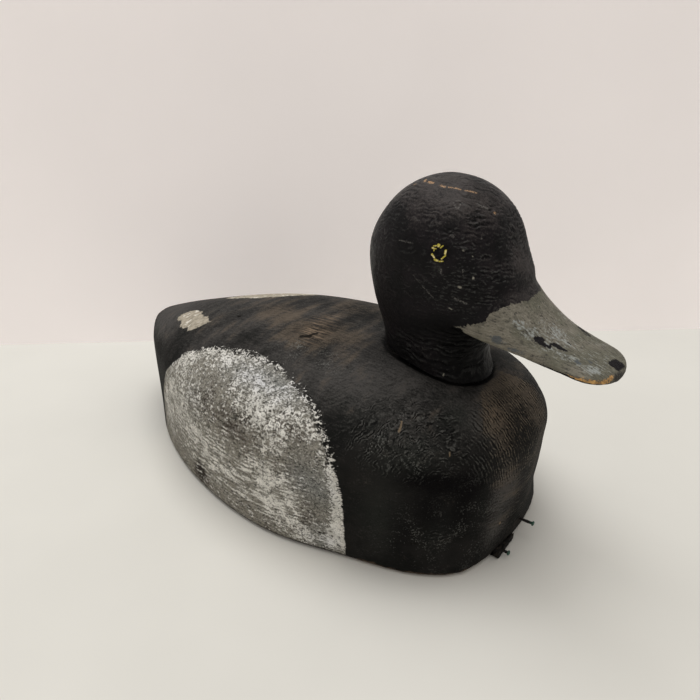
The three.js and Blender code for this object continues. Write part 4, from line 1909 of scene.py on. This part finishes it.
def make_body(foot: KDTree) -> DecoyBody:
    """Give the body with its strokes, creases, worn places and painted shade.

    Args:
        foot: Points of the neck's foot, taken flat.

    Returns:
        The body, ready to be made.
    """
    breast = Strokes(
        Channel.SECOND, centre=(90, -52, 74), reach=(28, 22, 14), spacing=1.7, depth=0.34,
        around=(112, -49, 46), sway=1.35
    )
    chatter = Strokes(
        Channel.THIRD, centre=(92, -50, 76), reach=(22, 20, 13), spacing=1.9, depth=0.24,
        across=(0.55, -0.3, 0.78), sway=1.3, broken=0.9
    )
    lower = Strokes(
        Channel.SECOND, centre=(110, -49, 27), reach=(5.5, 6.5, 6.5), spacing=2.3, depth=0.2,
        across=(-0.2, 0, 0.98), broken=0.6
    )
    comb = Strokes(
        Channel.THIRD, centre=(122, 0, 72), reach=(18, 37, 23), spacing=1.7, depth=0.46,
        across=(0.1, 0.93, 0.3), sway=0.6, broken=0.4
    )
    front = Strokes(
        Channel.FIRST, centre=(124, 0, 34), reach=(14, 34, 22), spacing=2.2, depth=0.16,
        across=(0.1, 0.16, 0.98), sway=0.5
    )
    flank = Strokes(
        Channel.FIRST, centre=(-20, -76, 30), reach=(70, 40, 30), spacing=2.5, depth=0.2,
        across=(-0.08, 0, 1), sway=0.45
    )
    back = Strokes(
        Channel.FIRST, centre=(-30, 0, 90), reach=(110, 46, 16), spacing=2.6, depth=0.08,
        across=(-0.5, 0.86, 0), sway=0.9
    )
    shoulder = Strokes(
        Channel.THIRD, centre=(60, -50, 82), reach=(44, 30, 16), spacing=2.4, depth=0.09,
        across=(-0.56, 0.32, 0.76), sway=1.1
    )
    stern = Strokes(
        Channel.SECOND, centre=(-140, 0, 40), reach=(40, 60, 40), spacing=2.8, depth=0.16,
        across=(0.2, 0, 1), sway=0.6
    )
    strokes = (breast, chatter, lower, comb, front, flank, back, shoulder, stern)
    strokes += tuple(s.other_side() for s in (breast, chatter, lower, flank, shoulder))
    ridge = DecoyBody.ridge_line.points[1:6]
    return DecoyBody(
        node="body",
        name="decoy_body",
        slot="body_paint",
        foot=foot,
        voxel=1.25,
        smoothing=9,
        firm_below=0.6,
        strokes=strokes,
        creases=(
            Crease(ridge, 1.1, 15.0),
            Crease(ridge, 0.7, 5.0),
            Crease(tuple(mirrored(p) for p in ridge), 1.3, 15.0),
        ),
        dents=both((113, -48, 50, 24, 26, 9, 1.7))
        + spots(
            (6.8, -28.5, 95.2, 3.6, 1.2, 4, 0.5), (-54.2, -23, 88.6, 1.3, 1.1, 3, 0.7),
            (99.5, -56.3, 20.4, 2.6, 3, 0.8, 0.5), (-2.7, -76.9, 63, 1.6, 3, 1.5, 0.8),
            (-38, -75, 9.9, 4, 4, 4, 0.4),
        ),
        worn={
            "cover": both(
                (-40, -53, 80, 26, 14, 6, 0.3), (-68, -54, 71, 18, 8, 7, 0.35),
                (-8, -57, 82, 26, 12, 9, 0.42), (22, -66, 76, 24, 12, 10, 0.42),
                (46, -71, 71, 14, 10, 9, 0.24), (58, -74, 56, 8, 10, 12, 0.25),
                (65.5, -72.5, 34, 4.6, 10, 26, 1.5), (61, -72, 14, 7, 10, 12, 0.4),
                (6, -73, 70, 20, 12, 7, 0.3), (27, -78.5, 60, 11, 8, 7, 0.3),
                (24, -79, 42, 10, 10, 10, 0.42), (12, -77, 66, 12, 8, 6, 0.2),
                (-20, -77, 24, 46, 16, 22, 0.4), (24, -79, 24, 20, 12, 16, 0.3),
                (44, -76, 10, 18, 12, 10, 0.5), (38, -77, 34, 8, 12, 12, 0.25),
                (-62, -66, 50, 34, 24, 30, 0.46), (-88, -56, 25, 20, 24, 30, 0.4),
                (0, -76, 50, 70, 20, 40, 0.22),
            ),
            "clean": both(
                (0, -60, 80, 26, 12, 6, 0.9), (24, -62, 80, 16, 10, 6, 0.4),
                (56, -73, 44, 9, 10, 14, 0.7), (44, -78, 46, 9, 10, 12, 0.6),
                (54, -73, 10, 10, 10, 10, 0.7), (-42, -70, 56, 12, 10, 12, 0.3),
            ),
            "rows": both(
                (-10, -79, 26, 48, 16, 15, 1.5), (-4, -78, 56, 16, 8, 6, 0.7),
            ),
            "streaks": both(
                (-86, -58, 34, 24, 24, 36, 1.4),
            ),
            "pits": both(
                (-2, -78.5, 57, 17, 8, 8, 0.5), (-30, -73, 62, 9, 8, 11, 0.4),
                (-38.5, -72, 10, 7.5, 12, 8, 1.25), (34, -79, 44, 9, 8, 9, 0.4),
                (10, -74, 70, 26, 10, 9, 0.35), (40, -70, 70, 12, 10, 8, 0.3),
                (47, -76, 22, 9, 10, 13, 0.36), (20, -79, 14, 22, 10, 9, 0.22),
            ),
            "fringe": both(
                (-50, -52, 78, 22, 12, 9, 0.7), (-72, -55, 68, 14, 10, 12, 0.45),
                (-16, -51, 84, 26, 12, 9, 1), (18, -56, 85, 24, 12, 9, 1.1),
                (45, -66, 78, 18, 12, 12, 1.2), (60, -73, 62, 10, 10, 12, 1),
                (65, -73, 44, 8, 10, 10, 0.5),
            ),
            "brown": spots(
                (10, -22, 96, 30, 16, 12, 1), (10, 24, 96, 36, 18, 12, 0.8),
                (-34, -8, 93, 18, 14, 12, 0.6), (-60, 0, 88, 36, 26, 12, 0.3),
                (126, 12, 36, 10, 26, 24, 0.6), (100, 24, 86, 20, 16, 12, 0.5),
            ),
            "slate": both(
                (104, -30, 84, 9, 8, 6, 1), (92, -56, 72, 22, 12, 10, 0.75),
                (84, -66, 34, 9, 12, 24, 0.8), (108, -52, 26, 7, 9, 14, 0.4),
                (60, -50, 88, 30, 16, 10, 0.5),
            ),
            # Painted shade in the breast's hollow and under its bulge.
            "painted_shade": both(
                (99, -59, 60, 8, 8, 4.5, 0.9), (109, -51, 58, 9, 9, 6.5, 1),
                (118, -40, 56, 8, 9, 9, 1), (105, -55, 42, 7, 9, 16, 0.7),
                (116, -43, 38, 5, 8, 14, 0.65), (95, -61, 24, 7, 8, 14, 0.45),
            ),
            "rub": spots(
                (126, -16, 42, 8, 13, 15, 0.95), (125, -20, 18, 8, 12, 14, 0.75),
                (100, -57, 16, 22, 14, 14, 0.12), (126, 20, 40, 10, 20, 30, 0.5),
                (-140, 0, 60, 20, 60, 20, 0.3), (-116, -32, 66, 22, 18, 12, 0.25),
                (-130, -14, 70, 16, 26, 14, 0.35), (48, -44, 91, 22, 16, 9, 0.16),
            ),
            "front_rub": spots(
                (110, -14, 84, 12, 11, 9, 0.25), (118, -21, 74, 8, 10, 10, 0.35),
                (123, -22, 60, 8, 12, 12, 0.2), (110, 14, 84, 12, 12, 9, 0.4),
                (120, 20, 70, 8, 12, 12, 0.4),
            ),
            "front_brown": spots(
                (114, -8, 82, 14, 18, 12, 0.9), (122, -6, 66, 12, 26, 16, 0.9),
                (114, 16, 80, 14, 14, 14, 0.8),
            ),
            "tan": spots(
                (8, -25, 95.5, 9, 9, 6, 0.85), (3, -17, 96.5, 7, 12, 6, 0.7),
                (-1, -2, 98, 7, 12, 6, 0.5), (-32, -7.5, 93.5, 9, 5, 6, 0.4),
                (113, -16, 80, 6, 7, 8, 0.55),
            ),
            "flecks": spots(
                (76, -64, 72, 10, 8, 7, 0.6), (98, -54, 70, 14, 10, 9, 0.5),
                (86, -50, 84, 6, 6, 5, 0.5), (112, -42, 76, 7, 6, 6, 0.6),
                (6, -38, 91, 14, 9, 6, 0.6), (30, -40, 91, 12, 8, 6, 0.6),
                (80, 62, 72, 10, 8, 7, 0.6), (100, -58, 22, 22, 14, 18, 0.4),
                (120, -34, 30, 12, 18, 24, 0.35),
            ),
        },
    )


def make_head() -> DecoyHead:
    """Give the head with its ripples, its worn places, its painted shade and where its painted
    glints gather.

    Returns:
        The head, ready to be made.
    """
    neck = Strokes(
        Channel.FIRST, centre=(86, 0, 106), reach=(30, 36, 14), spacing=3.2, depth=0.42,
        across=(0.15, -0.1, 0.98), sway=0.95, broken=0.7
    )
    cheek = Strokes(
        Channel.SECOND, centre=(80, 0, 152), reach=(46, 44, 26), spacing=2.4, depth=0.15,
        across=(-0.08, 0, 1), sway=1.3, broken=1.0
    )
    brow = Strokes(
        Channel.THIRD, centre=(103, -18, 158), reach=(10, 15, 21), spacing=2.2, depth=0.5,
        across=(-0.06, 0.1, 0.99), sway=0.9, broken=0.95
    )
    crown = Strokes(
        Channel.FIRST, centre=(76, 0, 176), reach=(40, 36, 18), spacing=2.3, depth=0.14,
        across=(0.04, 0.45, 0.88), sway=1.0, broken=1.0
    )
    bill = Strokes(
        Channel.FIRST, centre=(138, 0, 124), reach=(30, 30, 16), spacing=1.8, depth=0.14,
        across=(-0.1, 0.96, 0.28), sway=0.9, broken=1.0
    )
    edge = (
        (103, -10, 174), (107, -12, 166), (111.5, -13, 156), (114, -13.5, 148),
    )
    return DecoyHead(
        node="head",
        name="decoy_head",
        slot="head_paint",
        voxel=0.66,
        smoothing=14,
        lumps=0.2,
        lump_size=17.0,
        strokes=(neck, cheek, brow, brow.other_side(), crown, bill),
        creases=(Crease(edge, 0.6, 8.0), Crease(tuple(mirrored(p) for p in edge), 0.6, 8.0)),
        dents=both(
            (64, -25, 95, 22, 9, 17, 1.9), (43, -10, 101, 10, 14, 9, 1),
            (101, -9, 98, 8, 8, 12, 0.9),
            share=1.0,
        ),
        worn={
            "wear_and_sheen": spots(
                (114, 0, 156, 9, 13, 16, 0.5), (42, -10, 156, 10, 18, 16, 0.35),
                (88, -18, 179, 12, 8, 5, 0.3),
            ),
            # Painted shade under the jaw and the bill, and low on the neck.
            "painted_shade": spots(
                (102, -14, 116, 13, 16, 9, 1), (102, 14, 116, 13, 16, 9, 1),
                (72, 0, 100, 50, 40, 20, 0.45), (96, -14, 101, 13, 13, 12, 0.4),
                (102, -5, 104, 9, 14, 14, 0.55), (86, -24, 122, 16, 10, 7, 0.5),
                (58, -26, 130, 16, 10, 16, 0.35),
            ),
            # Where the short painted glints gather.
            "flecks": spots(
                (96, -27, 142, 16, 8, 13, 1), (108, -22, 150, 10, 10, 12, 0.8),
                (92, -27, 164, 20, 12, 12, 0.6), (84, -20, 178, 20, 12, 8, 0.5),
                (84, -28, 140, 20, 8, 12, 0.6), (60, -28, 160, 16, 12, 14, 0.35),
                (96, 27, 146, 20, 10, 20, 0.7), (80, -24, 108, 24, 10, 12, 0.5),
            ),
            "slate": spots(
                (115.9, -24.8, 124.5, 3.2, 3, 2.2, 1), (124.5, -24.6, 121.6, 6.5, 3, 1.5, 0.75),
                (150.4, -16.3, 120.8, 2.4, 2, 3, 0.75), (153.6, -11.4, 120.5, 2.2, 2.2, 3, 0.75),
                (122, 21.4, 122.6, 5, 3, 2.2, 0.9), (143, 17, 120.6, 4, 3, 3, 0.7),
                (134.6, -12.6, 126.2, 2.6, 2, 2, 0.8),
            ),
            "bill_wear": spots(
                (149.8, -23.6, 117, 3, 2.2, 0.9, 0.65), (155, -23, 116.6, 3.5, 2.4, 1.3, 0.8),
                (159.6, -20.4, 115.8, 3.4, 2.6, 1.6, 1),
                (163.4, -16.4, 115.4, 2.4, 3.4, 1.8, 0.95),
                (163.9, -11.6, 116.8, 1.5, 2.2, 1.4, 0.8), (138, -25.6, 117.8, 12, 2, 0.6, 0.5),
                (154, 16.5, 116, 6, 2.6, 1.3, 0.75), (162, 9.5, 115, 2.6, 3, 1.6, 0.7),
            ),
            # Painted shade on the tip's front and the bill's underside; dark streaks along the
            # lower edge.
            "bill_dark_and_shade": spots(
                (165.5, -6.5, 113.6, 2.6, 6, 2.6, 0.9), (165.2, -7.5, 116.4, 1.8, 5.5, 2.6, 0.7),
                (165.5, 3, 113.4, 2.6, 7, 2.6, 0.9), (140, -24.8, 117.6, 18, 2.2, 1.6, 0.5),
                (132, -23.5, 122, 12, 3, 2.6, 0.35), (148, -20, 119.6, 9, 4, 1.6, 0.3),
                (140, 20, 117.6, 18, 2.2, 1.6, 0.5), (140, 0, 111, 34, 28, 3, 0.5),
            ),
            # Pale strokes with a painted highlight along the bill's top.
            "bill_pale_and_highlight": spots(
                (122.5, -19, 132, 3.5, 3.5, 3, 0.75), (128.5, -18.4, 128.8, 4, 3.5, 3, 0.95),
                (137, -18, 125, 5, 3, 2.4, 0.6), (146, -17.2, 122.2, 6, 3, 2.4, 0.85),
                (156.4, -16, 119.3, 5, 3, 2, 0.95), (136, -8, 127, 14, 8, 5, 0.85),
                (157, -8, 119, 8, 8, 4, 0.5), (130, 12, 129, 8, 5, 4, 0.6),
                (150, 8, 121, 10, 5, 3, 0.5),
            ),
        },
    )


# Stage, light and camera


@dataclass
class Studio:
    """A plain pale floor with a backdrop behind, soft light and the camera."""

    floor_tone: Point = (0.755, 0.736, 0.682)
    floor_half: float = 3.0
    backdrop_tone: Point = (0.9, 0.845, 0.825)
    backdrop_start: tuple[float, float] = (-0.319, -0.054)
    backdrop_end: tuple[float, float] = (0.063, 0.3)
    backdrop_longer: float = 1.2
    backdrop_height: float = 1.4
    backdrop_glow: float = 0.22
    paper_shade: float = 0.965
    room_tone: Point = (1.0, 0.97, 0.935)
    room_levels: tuple[float, float, float, float] = (-0.6, 0.85, 0.5, 0.61)
    bright_side: Point = (-0.45, 0.5, 0.74)
    lamp_place: Point = (-0.25, 0.05, 1.25)
    lamp_aim: Point = (0.0, 0.0, 0.05)
    lamp_size: float = 0.9
    lamp_power: float = 9.0
    camera_place: Point = (0.23996, -0.28554, 0.25598)
    camera_ahead: Point = (-0.55915, 0.70369, -0.43837)
    camera_roll: float = 0.52
    lens: float = 36.0

    def paper(self, name: str, tone: Point) -> tuple[bpy.types.Material, Graph, bpy.types.Node]:
        """Make a matt paper.

        Args:
            name: The material's name.
            tone: The paper's colour.

        Returns:
            The material, its graph and its main shader.
        """
        material, graph, shader = new_material(name)
        shader.inputs["Roughness"].default_value = 0.9
        shader.inputs["Specular IOR Level"].default_value = 0.1
        place = graph.node("TexCoord", {}).outputs["Object"]
        shade = graph.node("TexNoise", {"Vector": place, "Scale": 9.0, "Detail": 3.0})
        darker = tuple(self.paper_shade * part for part in tone)
        colour = graph.blend(graph.step(shade.outputs["Fac"], 0.3, 0.7), darker, tone)
        graph.feed(shader.inputs["Base Color"], colour)
        return material, graph, shader

    def backdrop_paper(self) -> bpy.types.Material:
        """Make the backdrop's paper, which only the camera sees, from the front.

        Returns:
            The material.
        """
        material, graph, shader = self.paper("backdrop_paper", self.backdrop_tone)
        shader.inputs["Emission Color"].default_value = (*self.backdrop_tone, 1.0)
        shader.inputs["Emission Strength"].default_value = self.backdrop_glow
        clear = graph.node("BsdfTransparent", {}).outputs[0]
        back = graph.node("NewGeometry", {}).outputs["Backfacing"]
        seen = graph.node("LightPath", {}).outputs["Is Camera Ray"]
        hidden = graph.math("MAXIMUM", back, graph.math("SUBTRACT", 1.0, seen))
        mixed = graph.node("MixShader", {0: hidden, 1: shader.outputs[0], 2: clear})
        end = material.node_tree.nodes["Material Output"]
        graph.feed(end.inputs["Surface"], mixed.outputs[0])
        return material

    def stage(self, name: str, work: bmesh.types.BMesh, material: bpy.types.Material) -> None:
        """Put a piece of the stage into the scene.

        Args:
            name: The piece's name.
            work: Its shape.
            material: Its finish.
        """
        piece = linked_object(name, work)
        piece.data.materials.append(material)

    def floor(self) -> None:
        """Lay the floor at the underside's level."""
        work = bmesh.new()
        bmesh.ops.create_grid(work, x_segments=1, y_segments=1, size=self.floor_half)
        self.stage("floor", work, self.paper("floor_paper", self.floor_tone)[0])

    def backdrop(self) -> None:
        """Stand the backdrop behind the duck, seen only from its front."""
        start = Vector((*self.backdrop_start, 0.0))
        end = Vector((*self.backdrop_end, 0.0))
        along = (end - start).normalized()
        beyond = along * self.backdrop_longer
        work = bmesh.new()
        low = [work.verts.new(start - beyond), work.verts.new(end + beyond)]
        raised = bmesh.ops.extrude_edge_only(work, edges=[work.edges.new(low)])["geom"]
        top = [part for part in raised if isinstance(part, bmesh.types.BMVert)]
        bmesh.ops.translate(work, verts=top, vec=(0.0, 0.0, self.backdrop_height))
        towards = Vector((along.y, -along.x, 0.0))
        for face in work.faces:
            face.normal_update()
            if face.normal.dot(towards) < 0.0:
                face.normal_flip()
        self.stage("backdrop", work, self.backdrop_paper())

    def light(self) -> None:
        """Light the scene from above and from all round."""
        world = bpy.data.worlds.new("room_light")
        world.use_nodes = True
        back = world.node_tree.nodes["Background"]
        graph = Graph(world.node_tree)
        graph.feed(back.inputs["Color"], self.room_tone)
        sky = graph.node("TexCoord", {}).outputs["Generated"]
        facing = graph.vector("DOT_PRODUCT", sky, self.bright_side)
        graph.feed(back.inputs["Strength"], graph.span(facing, *self.room_levels))
        bpy.context.scene.world = world
        data = bpy.data.lights.new("ceiling_light", "AREA")
        data.shape = "SQUARE"
        data.size = self.lamp_size
        data.energy = self.lamp_power
        ahead = Vector(self.lamp_aim) - Vector(self.lamp_place)
        self.aim("ceiling_light", data, self.lamp_place, ahead)

    def aim(self, name: str, data: bpy.types.ID, place: Point, ahead: Vector) -> bpy.types.Object:
        """Place a light or a camera.

        Args:
            name: The object's name.
            data: The light or the camera.
            place: Where it stands.
            ahead: Where it looks, as a direction.

        Returns:
            The object.
        """
        made = bpy.data.objects.new(name, data)
        made.location = place
        made.rotation_mode = "QUATERNION"
        made.rotation_quaternion = ahead.to_track_quat("-Z", "Y")
        bpy.context.scene.collection.objects.link(made)
        return made

    def camera(self) -> None:
        """Place the camera at the photograph's viewpoint."""
        data = bpy.data.cameras.new("camera")
        data.sensor_width = 36.0
        data.lens = self.lens
        data.clip_start = 0.01
        camera = self.aim("camera", data, self.camera_place, Vector(self.camera_ahead))
        roll = Quaternion((0.0, 0.0, 1.0), math.radians(self.camera_roll))
        camera.rotation_quaternion = camera.rotation_quaternion @ roll
        bpy.context.scene.camera = camera

    def build(self) -> None:
        """Set the whole studio up."""
        self.floor()
        self.backdrop()
        self.light()
        self.camera()
        view = bpy.context.scene.view_settings
        view.view_transform = "Standard"
        view.look = "None"
        log.info("studio: floor, backdrop, light and camera")


def main() -> None:
    """Build the studio and the decoy's pieces, in order."""
    logging.basicConfig(level=logging.INFO, format="%(message)s")
    Studio().build()
    head = make_head().build(HeadPaint().build())
    make_body(neck_foot(head)).build(BodyPaint().build())
    StrapEnd().build(StrapLeather().build())
    tarnish = TarnishedNail().build()
    RoundNail("strap_nail", "strap_tack").build(tarnish)
    RoundNail("bow_nail", "bow_tack", bend=0.5).build(tarnish)


if __name__ == "__main__":
    main()
